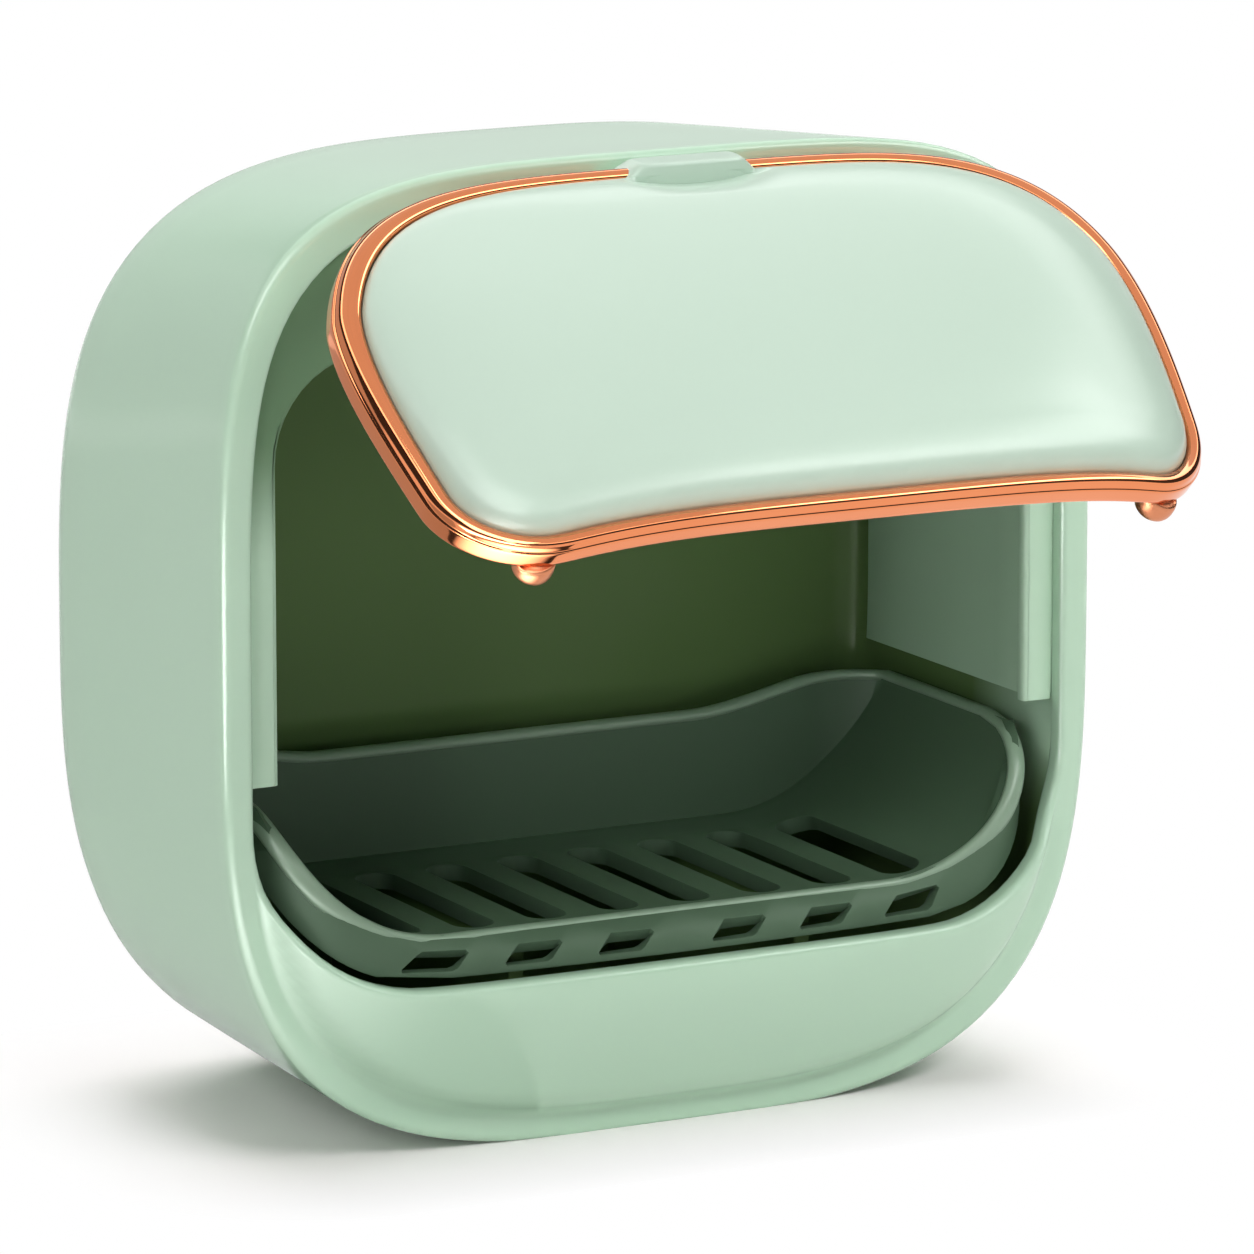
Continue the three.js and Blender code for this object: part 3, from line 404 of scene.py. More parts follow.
# %% Metal, rubber and foam materials
def plated_metal(name, dark, light, gloss, wave_scale):
    material, tree, shader, coords = new_material(name)
    tone = two_tones(tree, noise(tree, coords, wave_scale, 3.0), linear(*dark), linear(*light))
    rough = spread(tree, noise(tree, coords, 60.0, 1.0), gloss, gloss + 0.03)
    skin = bumped(tree, noise(tree, coords, 420.0, 1.0), 0.008, 0.0001)
    feed(tree, shader, {"Base Color": tone, "Roughness": rough, "Normal": skin, "Metallic": 1.0})
    return material


def grainy_matter(name, dark, light, scale, rough, bump):
    material, tree, shader, coords = new_material(name)
    grain = add_node(tree, "TexVoronoi", {"Scale": scale, "Vector": coords}, "Distance")
    tone = two_tones(tree, grain, linear(*light), linear(*dark))
    rough = spread(tree, grain, rough - 0.05, rough + 0.05, (0.0, 0.8))
    skin = bumped(tree, grain, bump, 0.0003)
    feed(tree, shader, {"Base Color": tone, "Roughness": rough, "Normal": skin})
    return material


copper = plated_metal("copper_plate", (238, 144, 96), (242, 149, 101), 0.06, 60.0)
copper_satin = plated_metal("copper_satin", (214, 138, 100), (222, 146, 108), 0.34, 90.0)
steel = plated_metal("bright_steel", (176, 178, 180), (196, 198, 200), 0.24, 400.0)
rubber = grainy_matter("washer_rubber", (30, 32, 31), (44, 46, 45), 2500.0, 0.8, 0.15)
foam = grainy_matter("pad_foam", (196, 198, 195), (226, 228, 224), 900.0, 0.88, 0.5)
print("other finishes", [m.name for m in (copper, copper_satin, steel, rubber, foam)])

# %% [markdown]
# ## Housing
# The housing is one moulding. Its skin starts in the middle of the back, runs over the big
# rounded back edge, along the sides, over the fine front edge and across the front face to
# the edge of the opening, turns there and runs back inside. On the front face every loop
# lies between the outline and the edge of the U shaped opening; the lower part is pushed out
# into the domed front wall, with a soft crease where the dome leaves the rim.

# %% Front surface of the housing
FRONT_EDGE = 1.2
RIM_WIDTH = 4.5
OPENING_HALF = HALF_WIDTH - RIM_WIDTH
OPENING_TOP = HOUSING["height"] - RIM_WIDTH
OPENING_LOW = 24.0
OPENING_CORNER = 22.0
DOME = 11.0
DOME_END_Z = 60.0
DOME_END_SLOPE = 4.4
DOME_BLEND = 0.9
CREASE = (0.905, 0.948)
HUB = (0.0, CENTRE_Z)


def inside_opening(x, z):
    if z >= CENTRE_Z:
        power = FRONT_POWER["high"]
        rise = (z - CENTRE_Z) / (OPENING_TOP - CENTRE_Z)
        return abs(x / OPENING_HALF) ** power + abs(rise) ** power <= 1
    if abs(x) > OPENING_HALF or z < OPENING_LOW:
        return False
    return inside_corner(abs(x) - (OPENING_HALF - OPENING_CORNER), OPENING_LOW + OPENING_CORNER - z,
                         OPENING_CORNER)


def front_y(x, z):
    """How far the front face stands ahead of the rim plane, as a y."""
    share = outline_share(x, z)
    dome = DOME * (1 - share ** 4) * (1 - ease(*CREASE, share))
    limit = max(0.0, (DOME_END_Z - z) / DOME_END_SLOPE)
    lower, gap = min(dome, limit), abs(dome - limit)
    if gap < DOME_BLEND:
        lower -= (DOME_BLEND - gap) ** 2 / (4 * DOME_BLEND)
    return -max(0.0, lower)


def outward(point, amount):
    """A point moved away from the middle of the front."""
    size = math.hypot(point[0] - HUB[0], point[1] - HUB[1])
    return tuple(HUB[k] + (point[k] - HUB[k]) * (1 + amount / size) for k in range(2))


opening = [ray_to_edge(inside_opening, HUB, point) for point in housing_ring(0, FRONT_EDGE)]
print("front face stands", round(-front_y(0, OPENING_LOW), 2), "mm proud at the wall's top edge")

# %% [markdown]
# ### Rows of the housing skin
# The rows are listed in the order in which the skin is pulled: back edge, sides, front edge,
# front face, the lip of the opening and its inner edge, the back of the front face, and last
# the inside with its rounded back corner. A small function gives each kind of row.

# %% Rows of the housing skin
BACK_EDGE = 9.0
LIP = 1.0
INNER_EDGE = 0.9
WALL = 4.0
FRONT_WALL = 3.2
RIM_WALL = 2.4
CAVITY_FRONT = 2.6
CAVITY_BACK = 56.0
CAVITY_EDGE = 5.0
FACE_SHARES = (0.04, 0.08, 0.11, 0.14, 0.17, 0.2, 0.24, 0.29, 0.36, 0.45, 0.55, 0.65, 0.75, 0.85,
               0.93, 1.0)


def quarter(steps):
    """Sine and cosine pairs along a quarter turn."""
    angles = [math.pi / 2 * k / steps for k in range(steps + 1)]
    return [(math.sin(angle), math.cos(angle)) for angle in angles]


def flat_row(y, inset):
    return [at(x, y, z) for x, z in housing_ring(y, inset)]


def face_row(share):
    """A loop on the front face between the outline and the lip of the opening."""
    row = []
    for start, edge in zip(housing_ring(0, FRONT_EDGE), opening):
        x, z = between(start, outward(edge, LIP), share)
        row.append(at(x, front_y(x, z), z))
    return row


def lip_row(s, c):
    """A loop on the rounded lip of the opening."""
    row = []
    for edge in opening:
        x, z = outward(edge, LIP * (1 - s))
        row.append(at(x, front_y(*outward(edge, LIP)) + LIP * (1 - c), z))
    return row


def wall_at(edge):
    """How low a point of the opening lies, from 0 to 1, and how thick the front is there."""
    low = 1 - ease(38, 52, edge[1])
    return low, lerp(RIM_WALL, FRONT_WALL, low)


def turn_row(turn):
    """A loop on the inner edge of the opening, which is rounded along the front wall."""
    s, c = math.sin(math.pi / 2 * turn), math.cos(math.pi / 2 * turn)
    row = []
    for edge in opening:
        low, wall = wall_at(edge)
        x, z = outward(edge, low * INNER_EDGE * (1 - c))
        row.append(at(x, front_y(*outward(edge, LIP)) + wall - INNER_EDGE * low * (1 - s), z))
    return row


def behind_row(share):
    """A loop on the back of the front face, from the opening out to the inside of the box."""
    row = []
    for edge, end in zip(opening, housing_ring(2.0, WALL)):
        low, wall = wall_at(edge)
        x, z = between(outward(edge, low * INNER_EDGE), end, share)
        row.append(at(x, lerp(front_y(x, z) + wall, CAVITY_FRONT, ease(0.7, 1.0, share)), z))
    return row


skin_rows = [flat_row(HOUSING["depth"] - BACK_EDGE * (1 - c), BACK_EDGE * (1 - s)) for s, c in quarter(9)]
skin_rows += [flat_row(y, 0) for y in (44, 37, 30, 23, 16, 10, 6, 3.5)]
skin_rows += [flat_row(FRONT_EDGE * (1 - s), FRONT_EDGE * (1 - c)) for s, c in quarter(6)]
skin_rows += [face_row(share) for share in FACE_SHARES]
skin_rows += [lip_row(s, c) for s, c in quarter(5)[1:]]
skin_rows += [turn_row(turn) for turn in (0.0, 0.3, 0.65, 1.0)]
inner_start = len(skin_rows)
skin_rows += [behind_row(share) for share in (0.12, 0.28, 0.46, 0.64, 0.8, 0.92, 1.0)]
skin_rows += [flat_row(y, WALL) for y in (6, 14, 24, 34, 44, 50)]
for s, c in quarter(6):
    skin_rows.append(flat_row(CAVITY_BACK - CAVITY_EDGE * (1 - s), WALL + CAVITY_EDGE * (1 - c)))
print("housing skin", len(skin_rows), "loops,", inner_start, "of them up to the opening's inner edge")

# %% [markdown]
# ### Ribs, lugs and the painted shade inside
# Two ribs carry the tray over a water space, and two lugs under the top edge take the hinge
# pins. They are rounded blocks and rods in the same moulding. The underside is cut flat, and
# the vertices behind the opening get a value called inside, which grows further behind the
# rim and towards the bottom; the material turns it into painted shade.

# %% Housing piece
HINGE_Y = -3.6
HINGE_Z = 125.0
KNUCKLE = 2.4
KNUCKLE_EDGE = 0.35
LUG = (25.6, 30.0)
LUG_BACK = 1.9
RIB = {"x": 21.6, "half": 1.2, "low": 2.2, "top": 27.2}
INSIDE_END = CAVITY_BACK + 1.0
SKIN_MIDDLE = 63

bm = bmesh.new()
skin_through(bm, skin_rows, start=at(0, HOUSING["depth"], SKIN_MIDDLE),
             end=at(0, CAVITY_BACK, SKIN_MIDDLE))
for side in SIDES:
    x = side * RIB["x"]
    soft_block(bm, (x - RIB["half"], 2, RIB["low"]), (x + RIB["half"], INSIDE_END, RIB["top"]), 0.4)
    x0, x1 = span(side, *LUG)
    soft_rod(bm, x0, x1, HINGE_Y, HINGE_Z, KNUCKLE, KNUCKLE_EDGE)
    soft_block(bm, (x0, HINGE_Y, HINGE_Z - KNUCKLE), (x1, LUG_BACK, HINGE_Z + 0.6), 0.3)
    soft_block(bm, (x0, 0.05, HINGE_Z - KNUCKLE), (x1, LUG_BACK, OPENING_TOP + 2.0), 0.3)
# Painted shade: inner vertices get a darkening value, stronger further behind the rim and low down.
inside = bm.verts.layers.float.new("inside")
for index, vert in enumerate(bm.verts):
    vert.co.z = max(0.0, vert.co.z)
    depth, height = vert.co.y / MM - RIM_Y, vert.co.z / MM
    if index >= inner_start * ROUND and depth < INSIDE_END:
        vert[inside] = max(ease(5, 26, depth), 1 - ease(34, 50, height))
finish_piece(bm, "housing_moulding", "housing", mint, ["housing_shell"], sharp=55)

# %% [markdown]
# ## Inner liner
# A thin arch lines the opening: a flange behind the rim and two side legs that end above the
# tray. Its section is a closed bar that follows the housing outline, so one row of loops
# goes right round and is bridged to itself. A plane then cuts the bar off at the foot of the
# legs, the cuts are filled, and a bevel softens them.

# %% Liner
LINER_FOOT = 51.5
LINER_OUT, LINER_IN = 4.35, 6.35
FLANGE_FRONT, FLANGE_BACK = 2.2, 4.4
WINDOW = {"half": 56.0, "low": 1.5, "top": 107.5, "corner": 14.0}
WINDOW_EDGE = ((FLANGE_FRONT, 0.7), (2.35, 0.25), (2.8, 0.0), (3.8, 0.0), (4.25, 0.25), (FLANGE_BACK, 0.6))
SLEEVE = ((4.9, 6.45), (5.8, LINER_IN), (14, LINER_IN), (26, LINER_IN), (38, LINER_IN), (49.4, LINER_IN),
          (49.9, 6.1), (50, 5.7), (50, 5.0), (49.9, 4.6),
          (49.4, LINER_OUT), (38, LINER_OUT), (26, LINER_OUT), (14, LINER_OUT))


def inside_window(x, z):
    corner = WINDOW["corner"]
    over = abs(x) - (WINDOW["half"] - corner)
    beyond = abs(z - (WINDOW["low"] + WINDOW["top"]) / 2) - (WINDOW["top"] - WINDOW["low"]) / 2 + corner
    return max(over, beyond) <= corner and inside_corner(over, beyond, corner)


window = [ray_to_edge(inside_window, HUB, point) for point in housing_ring(FLANGE_FRONT, LINER_OUT)]


def window_row(y, grow):
    return [at(x, y, z) for x, z in (outward(point, grow) for point in window)]


def flange_row(y, share):
    """A loop on the flange between the window and the liner's inner skin."""
    ends = housing_ring(y, LINER_IN)
    return [at(x, y, z) for x, z in (between(point, end, share) for point, end in zip(window, ends))]


liner_rows = [flat_row(2.9, LINER_OUT), flat_row(2.4, 4.5), flat_row(FLANGE_FRONT, 5.0)]
liner_rows += [flange_row(FLANGE_FRONT, share) for share in (0.75, 0.5, 0.25)]
liner_rows += [window_row(y, grow) for y, grow in WINDOW_EDGE]
liner_rows += [flange_row(FLANGE_BACK, share) for share in (0.35, 0.65, 0.85)]
liner_rows += [flat_row(y, inset) for y, inset in SLEEVE]
bm = bmesh.new()
skin_through(bm, liner_rows, joined=True)
cut = bmesh.ops.bisect_plane(bm, geom=bm.verts[:] + bm.edges[:] + bm.faces[:], dist=1e-6,
                             plane_co=at(0, 0, LINER_FOOT), plane_no=(0, 0, 1), clear_inner=True)
foot_edges = [item for item in cut["geom_cut"] if isinstance(item, bmesh.types.BMEdge)]
bmesh.ops.holes_fill(bm, edges=foot_edges, sides=0)
round_edges(bm, foot_edges, 0.45, clamp=True)
# Painted shade: the liner darkens a little further back and strongly towards its top, for the shadow under
# the lid.
inside = bm.verts.layers.float.new("inside")
for vert in bm.verts:
    depth, height = vert.co.y / MM - RIM_Y, vert.co.z / MM
    vert[inside] = max(0.3 * ease(4.5, 12, depth), 0.9 * ease(80, 98, height))
finish_piece(bm, "liner_arch", "housing", mint_liner, ["inner_liner"], sharp=50)

# %% [markdown]
# ## Lid outline
# The lid is drawn shut and then swung open on its hinge, as it would be assembled. Its
# outline follows the housing at the top and draws in towards the lower edge. Every loop of
# the ring, the panel and the frame is found along the same rays from the middle of the lid,
# and each loop lies a set distance behind or ahead of one domed surface.

# %% Lid helpers
LID = {"half": 60.7, "top": 129.1, "low": 65.3, "corner": 13.0}
LID_POWER = 4.15
LID_TAPER = {"from": 108.1, "over": 42.8, "share": 0.11, "power": 1.13}
LID_EDGE_Y = -4.0
LID_DOME = 17.0
LID_HUB = (0.0, 97.0)
LID_ROUND = 240
LID_FLAT = 0.72
LID_OPEN = math.radians(-43.5)
INNERMOST = 10.0


def lid_taper(z):
    """The lid's width at a height, as a share of its full width."""
    drop = max(0.0, LID_TAPER["from"] - z) / LID_TAPER["over"]
    return 1 - LID_TAPER["share"] * drop ** LID_TAPER["power"]


def lid_y(x, z):
    """The domed surface that all lid pieces follow."""
    return LID_EDGE_Y - LID_DOME * (1 - min(1.0, outline_share(x, z)) ** 4)


def inside_lid(inset):
    half, top, low = LID["half"] - inset, LID["top"] - inset, LID["low"] + inset
    corner = max(3.0, LID["corner"] - inset)

    def test(x, z):
        u = abs(x) / lid_taper(z)
        if z < low or u > half:
            return False
        rise = max(0.0, z - CENTRE_Z) / (top - CENTRE_Z)
        if (u / half) ** LID_POWER + rise ** LID_POWER > 1:
            return False
        return inside_corner(u - (half - corner), low + corner - z, corner)

    return test


lid_rays = [(LID_HUB[0] + math.cos(a), LID_HUB[1] + LID_FLAT * math.sin(a)) for a in turns(LID_ROUND)]
lid_edges = {}


def lid_edge(inset):
    """The lid outline moved inwards, kept so that it is found only once."""
    if inset not in lid_edges:
        lid_edges[inset] = [ray_to_edge(inside_lid(inset), LID_HUB, ray) for ray in lid_rays]
    return lid_edges[inset]


def lid_row(points, behind):
    """A loop through points of the lid, a distance behind the domed surface."""
    return [at(x, lid_y(x, z) + behind, z) for x, z in points]


def toward_hub(shrink):
    """The innermost outline, drawn in towards the middle of the lid."""
    return [between(point, LID_HUB, shrink) for point in lid_edge(INNERMOST)]


def hub_point(behind):
    return lid_row([LID_HUB], behind)[0]


swing = (Matrix.Translation(at(0, HINGE_Y, HINGE_Z)) @ Matrix.Rotation(LID_OPEN, 4, "X")
         @ Matrix.Translation(-at(0, HINGE_Y, HINGE_Z)))


def open_lid(bm):
    bmesh.ops.transform(bm, matrix=swing, verts=bm.verts)


print("lid outline", len(lid_edge(0.0)), "points, lowest", round(min(z for _, z in lid_edge(0.0)), 1))

# %% [markdown]
# ## Trim ring
# The plated ring is a bar that goes once round the lid. Its flat side wall ends in a fine
# ledge, then a steep shoulder rises to the crown, and a long slope runs in to the panel. The
# section is a short list of insets and depths; the loops are bridged to a closed bar, and
# one level of subdivision rounds the shoulder.

# %% Trim ring
RING_BACK = 3.4
RING_SECTION = (
    (0.35, RING_BACK), (0.1, 3.3), (0.0, 3.0), (0.0, 1.9), (0.0, 0.8), (0.04, 0.6), (0.16, 0.54),
    (0.28, 0.48), (0.34, 0.34), (0.42, 0.0), (0.56, -0.32), (0.82, -0.56), (1.15, -0.64), (1.5, -0.6),
    (1.9, -0.42), (2.3, -0.14), (2.6, 0.2), (2.78, 0.5), (2.87, 0.8), (2.9, 1.2), (2.9, 2.0),
    (2.9, 3.0), (2.8, 3.3), (2.55, RING_BACK), (1.4, RING_BACK),
)
bm = bmesh.new()
skin_through(bm, [lid_row(lid_edge(inset), behind) for inset, behind in RING_SECTION], joined=True)
open_lid(bm)
trim_ring = finish_piece(bm, "trim_ring_bar", "lid", copper, ["lid_trim_ring"])
smooth = trim_ring.modifiers.new("round_bead", "SUBSURF")
smooth.levels = smooth.render_levels = 1

# %% [markdown]
# ## Lid panel with its finger tab
# The panel is a soft pillow inside the ring. Its edge rolls up over a few millimetres, most
# along the lower side, and the middle is almost flat. At the top a small brim stands over the
# ring: the panel dips in a shallow lens before it, and the brim's steep face gives the
# finger a hold. The brim is a second skin in the same moulding.

# %% Lid panel
PANEL_BACK = 3.3
PANEL_SECTION = ((3.0, PANEL_BACK), (3.0, 2.0), (3.0, 1.1), (3.06, 0.7), (3.22, 0.34), (3.5, 0.02),
                 (3.95, -0.3), (4.7, -0.58), (5.8, -0.8), (7.4, -0.95), (INNERMOST, -1.04))
PANEL_PROUD = 1.2
TAB = {"base": 11.3, "top": 7.7, "foot": 124.3, "brow": 126.5, "high": 130.2}
SCOOP = {"half": 11.5, "below": 4.6, "deep": 2.0}


def pillow(z):
    """How strongly the panel's edge rolls: full along the lower side, flat under the brim."""
    return lerp(1.85, 0.5, ease(70, 118, z))


def scoop(x, z):
    """Depth of the finger dip before the brim."""
    across = max(0.0, 1 - (x / SCOOP["half"]) ** 2)
    start = TAB["foot"] - SCOOP["below"] * math.sqrt(across)
    return SCOOP["deep"] * across * ease(start - 0.3, TAB["foot"] + 0.4, z)


def panel_point(x, z, behind):
    """A point of the panel's face; only what stands proud rolls and dips."""
    if behind < 0:
        behind = behind * pillow(z) + scoop(x, z)
    return at(x, lid_y(x, z) + behind, z)


panel_rows = [[panel_point(x, z, behind) for x, z in lid_edge(inset)] for inset, behind in PANEL_SECTION]
for shrink in (0.02, 0.04, 0.07, 0.1, 0.14, 0.19, 0.25, 0.33, 0.44, 0.57, 0.7, 0.83, 0.93):
    proud = lerp(1.04, PANEL_PROUD, ease(0.0, 0.4, shrink))
    panel_rows.append([panel_point(x, z, -proud) for x, z in toward_hub(shrink)])
bm = bmesh.new()
skin_through(bm, panel_rows, start=hub_point(PANEL_BACK), end=panel_point(*LID_HUB, -PANEL_PROUD))
print("panel", len(panel_rows), "loops")

# %% [markdown]
# ### The brim
# The brim's loops start under the panel's face and rise to its top, where a few more loops
# draw in and round it off. With it the panel is complete and can be swung open.

# %% Brim of the panel
TAB_ROOT, TAB_CREST = 2.3, -1.6
TAB_CROWN = ((0.06, 0.0), (0.2, 0.12), (0.4, 0.18), (0.8, 0.2))


def tab_row(level, shrink=0.0, rise=0.0):
    """A loop of the brim: level 0 under the panel's face, 1 on top of the brim."""
    half = lerp(TAB["base"], TAB["top"], level) - shrink
    low, high = lerp(TAB["foot"], TAB["brow"], level) + shrink, TAB["high"] - shrink
    return lid_row(rounded_square(half, low, high, 5.0, 7.0, 96), lerp(TAB_ROOT, TAB_CREST, level) - rise)


tab_rows = [tab_row(level) for level in (0.0, 0.2, 0.4, 0.6, 0.75, 0.88, 0.95)]
tab_rows += [tab_row(1.0, shrink, rise) for shrink, rise in TAB_CROWN]
tab_middle = [(0, (TAB["brow"] + TAB["high"]) / 2)]
start, end = (lid_row(tab_middle, behind)[0] for behind in (TAB_ROOT, TAB_CREST - 0.2))
skin_through(bm, tab_rows, start=start, end=end)
open_lid(bm)
finish_piece(bm, "lid_panel_pillow", "lid", mint_lid, ["lid_panel"], sharp=60)

# %% [markdown]
# ## Lid frame
# Behind the panel a thin backing plate holds the lid together. It carries the two ears that
# turn on the hinge pins, a stiffening bead round its border and two small pads that stop the
# lid against the liner flange. The plate is another skin on the lid's rays, and the ears,
# webs and pads are rounded rods and blocks set into it.

# %% Lid frame
FRAME_FACE, FRAME_BACK = 3.5, 4.85
FRAME_SECTION = ((INNERMOST, FRAME_FACE), (4.0, FRAME_FACE), (2.8, 3.52), (2.55, 3.65), (2.5, 3.9),
                 (2.5, 4.9), (2.6, 5.15), (2.9, 5.28), (3.5, 5.3), (4.6, 5.3), (5.0, 5.2), (5.4, 4.95),
                 (5.9, FRAME_BACK), (INNERMOST, FRAME_BACK))
EAR = (15.4, 24.6)
EAR_MIDDLE = 20.0
STOP = {"x": 48.2, "z": 111.6, "half": 2.5, "back": 1.9}
NUB = {"x": 45.2, "z": LID["low"] + 2.1, "radius": 2.7}


def notched(points):
    """An outline of the plate that leaves room round the two nubs."""
    room = NUB["radius"] + 0.3
    for x, z in points:
        aside = abs(abs(x) - NUB["x"])
        if aside < room:
            z = max(z, NUB["z"] + math.sqrt(room * room - aside * aside))
        yield x, z


frame_rows = [lid_row(toward_hub(shrink), FRAME_FACE) for shrink in (0.8, 0.5, 0.25)]
frame_rows += [lid_row(notched(lid_edge(inset)), behind) for inset, behind in FRAME_SECTION]
frame_rows += [lid_row(toward_hub(shrink), FRAME_BACK) for shrink in (0.1, 0.25, 0.4, 0.55, 0.7, 0.85)]
bm = bmesh.new()
skin_through(bm, frame_rows, start=hub_point(FRAME_FACE), end=hub_point(FRAME_BACK))
web_front = lid_y(EAR_MIDDLE, HINGE_Z) + 3.6
stop_front = lid_y(STOP["x"], STOP["z"]) + 4.0
for side in SIDES:
    x0, x1 = span(side, *EAR)
    soft_rod(bm, x0, x1, HINGE_Y, HINGE_Z, KNUCKLE, KNUCKLE_EDGE)
    soft_block(bm, (x0, web_front, HINGE_Z - 6.5), (x1, web_front + 1.6, HINGE_Z), 0.3)
    x0, x1 = span(side, STOP["x"] - STOP["half"], STOP["x"] + STOP["half"])
    low, high = STOP["z"] - STOP["half"], STOP["z"] + STOP["half"]
    soft_block(bm, (x0, stop_front, low), (x1, STOP["back"], high), 0.5)
open_lid(bm)
finish_piece(bm, "lid_backing_frame", "lid", mint_liner, ["lid_frame"], sharp=50)

# %% [markdown]
# ## Pull nubs
# Two small plated buttons behind the lid's lower corners are there to lift it by. Each is
# turned: a collar that fits the back of the ring, a short straight side and a rounded end. A
# row of circles along the nub's own axis makes it, and it is swung open with the lid.

# %% Pull nubs
NUB_STEM = {"radius": 0.9, "front": -2.2}
NUB_END = 3.6
NUB_SECTION = ((2.6, 0.9), (2.7, 1.4), (2.7, 2.1), (2.64, 2.5), (2.5, 2.86), (2.26, 3.16), (1.9, 3.4),
               (1.4, 3.54), (0.8, NUB_END))
ring_back = lid_y(NUB["x"], NUB["z"]) + RING_BACK


def nub_row(side, radius, behind=None):
    """A circle round the nub's axis, or one that lies on the back of the ring."""
    row = []
    for a in turns(40):
        x, z = NUB["x"] + radius * math.cos(a), NUB["z"] + radius * math.sin(a)
        y = lid_y(x, z) + RING_BACK + 0.1 if behind is None else ring_back + behind
        row.append(at(side * x, y, z))
    return row


for side, word in NAMED_SIDES:
    bm = bmesh.new()
    rows = [nub_row(side, NUB_STEM["radius"], NUB_STEM["front"])]
    rows += [nub_row(side, radius) for radius in (NUB_STEM["radius"], 2.0, 2.4)]
    rows += [nub_row(side, radius, behind) for radius, behind in NUB_SECTION]
    start, end = (at(side * NUB["x"], ring_back + behind, NUB["z"])
                  for behind in (NUB_STEM["front"], NUB_END))
    skin_through(bm, rows, start=start, end=end)
    open_lid(bm)
    finish_piece(bm, "pull_nub_button_" + word, "lid", copper_satin, ["pull_nub_" + word])

# %% [markdown]
# ## Drain tray
# The tray is a bent sheet: a slotted floor whose sides roll up into walls, a low back and a
# short apron at the front with slanted drain slots. Each slot is a stadium shaped loop that
# is pulled out to its own rectangle of floor, so neighbouring rectangles share their points
# and merge. The border is then extruded on, bent up along the U, and given its thickness.

# %% Tray section and plan
TRAY = {"half": 59.0, "top": 48.0, "back_top": 44.0, "floor": 29.5, "wall": 2.2, "corner": 23.8,
        "front": -4.6, "back": 48.0, "apron_low": 24.4, "plan_corner": 12.0, "bow": 800.0}
SHOULDER = {"foot": 33.0, "radius": 15.0, "back": 14.0}
FLAT_HALF = TRAY["half"] - TRAY["wall"] - TRAY["corner"]
SECTION_END = FLAT_HALF + TRAY["corner"] * math.acos(1 - (TRAY["top"] - TRAY["floor"]) / TRAY["corner"])


def tray_turn(u):
    """How far the section has turned up at a distance along it, in radians."""
    return max(0.0, abs(u) - FLAT_HALF) / TRAY["corner"]


def tray_bend(u):
    """The inner face of the tray at a distance along its section from the middle."""
    turn = tray_turn(u)
    x = min(abs(u), FLAT_HALF) + TRAY["corner"] * math.sin(turn)
    return math.copysign(x, u), TRAY["floor"] + TRAY["corner"] * (1 - math.cos(turn))


def plan_corner(x):
    """How far the rounded corners of the plan draw in the front and the back."""
    radius = TRAY["plan_corner"]
    over = max(0.0, abs(x) - (TRAY["half"] - radius))
    return radius - math.sqrt(max(0.0, radius * radius - over * over))


def tray_front(x):
    """The bowed front edge with its rounded plan corners."""
    return TRAY["front"] + x * x / TRAY["bow"] + plan_corner(x)


def tray_back(x):
    return TRAY["back"] - plan_corner(x)


def rim_front(x, z):
    """Where the tray's rim stands: on the bowed edge, or further back on the rounded shoulder."""
    radius = SHOULDER["radius"]
    rise = min(radius, max(0.0, z - SHOULDER["foot"]))
    return max(tray_front(x), SHOULDER["back"] - math.sqrt(radius * radius - rise * rise))


def back_rim(x):
    """Height of the back wall, which rises to the side walls at its corners."""
    return lerp(TRAY["back_top"], TRAY["top"], ease(28, 54, abs(x)))


print("tray section", round(2 * SECTION_END, 1), "mm along the bend")

# %% [markdown]
# ### The flat sheet
# The eight slots are laid side by side, and the border round them is grown to both sides, to
# the front and to the back in small steps. All of this is still flat: x runs along the bend
# to come and y from front to back.

# %% Flat sheet of the tray
SLOT_COUNT, SLOT_PITCH, SLOT_HALF = 8, 10.8, 3.0
SLOT_FRONT, SLOT_BACK, SLOT_MARGIN = 1.5, 36.0, 1.6
SLOT_NEAR, SLOT_FAR = SLOT_FRONT - SLOT_MARGIN, SLOT_BACK + SLOT_MARGIN
BLOCK_HALF = SLOT_COUNT / 2 * SLOT_PITCH
STEPS = 12


def slot_loop(x):
    """A stadium loop and the rectangle round it, point by point."""
    inner, outer = [], []
    half, reach = SLOT_PITCH / 2, SLOT_HALF + SLOT_MARGIN
    for end, sign in ((SLOT_BACK - SLOT_HALF, 1), (SLOT_FRONT + SLOT_HALF, -1)):
        for k in range(13):
            turn = math.pi * k / 12
            c, s = math.cos(turn) * sign, math.sin(turn) * sign
            inner.append(Vector((x + SLOT_HALF * c, end + SLOT_HALF * s, 0)))
            scale = max(abs(c), abs(s))
            outer.append(Vector((x + half * c / scale, end + reach * s / scale, 0)))
    return inner, outer


def border(bm, test):
    """The open edges of the sheet whose two ends pass a test."""
    return [e for e in bm.edges if e.is_boundary and all(test(v.co) for v in e.verts)]


def grow_sheet(bm, edges, move):
    for vert in new_verts(bmesh.ops.extrude_edge_only(bm, edges=edges)):
        vert.co = move(vert.co)


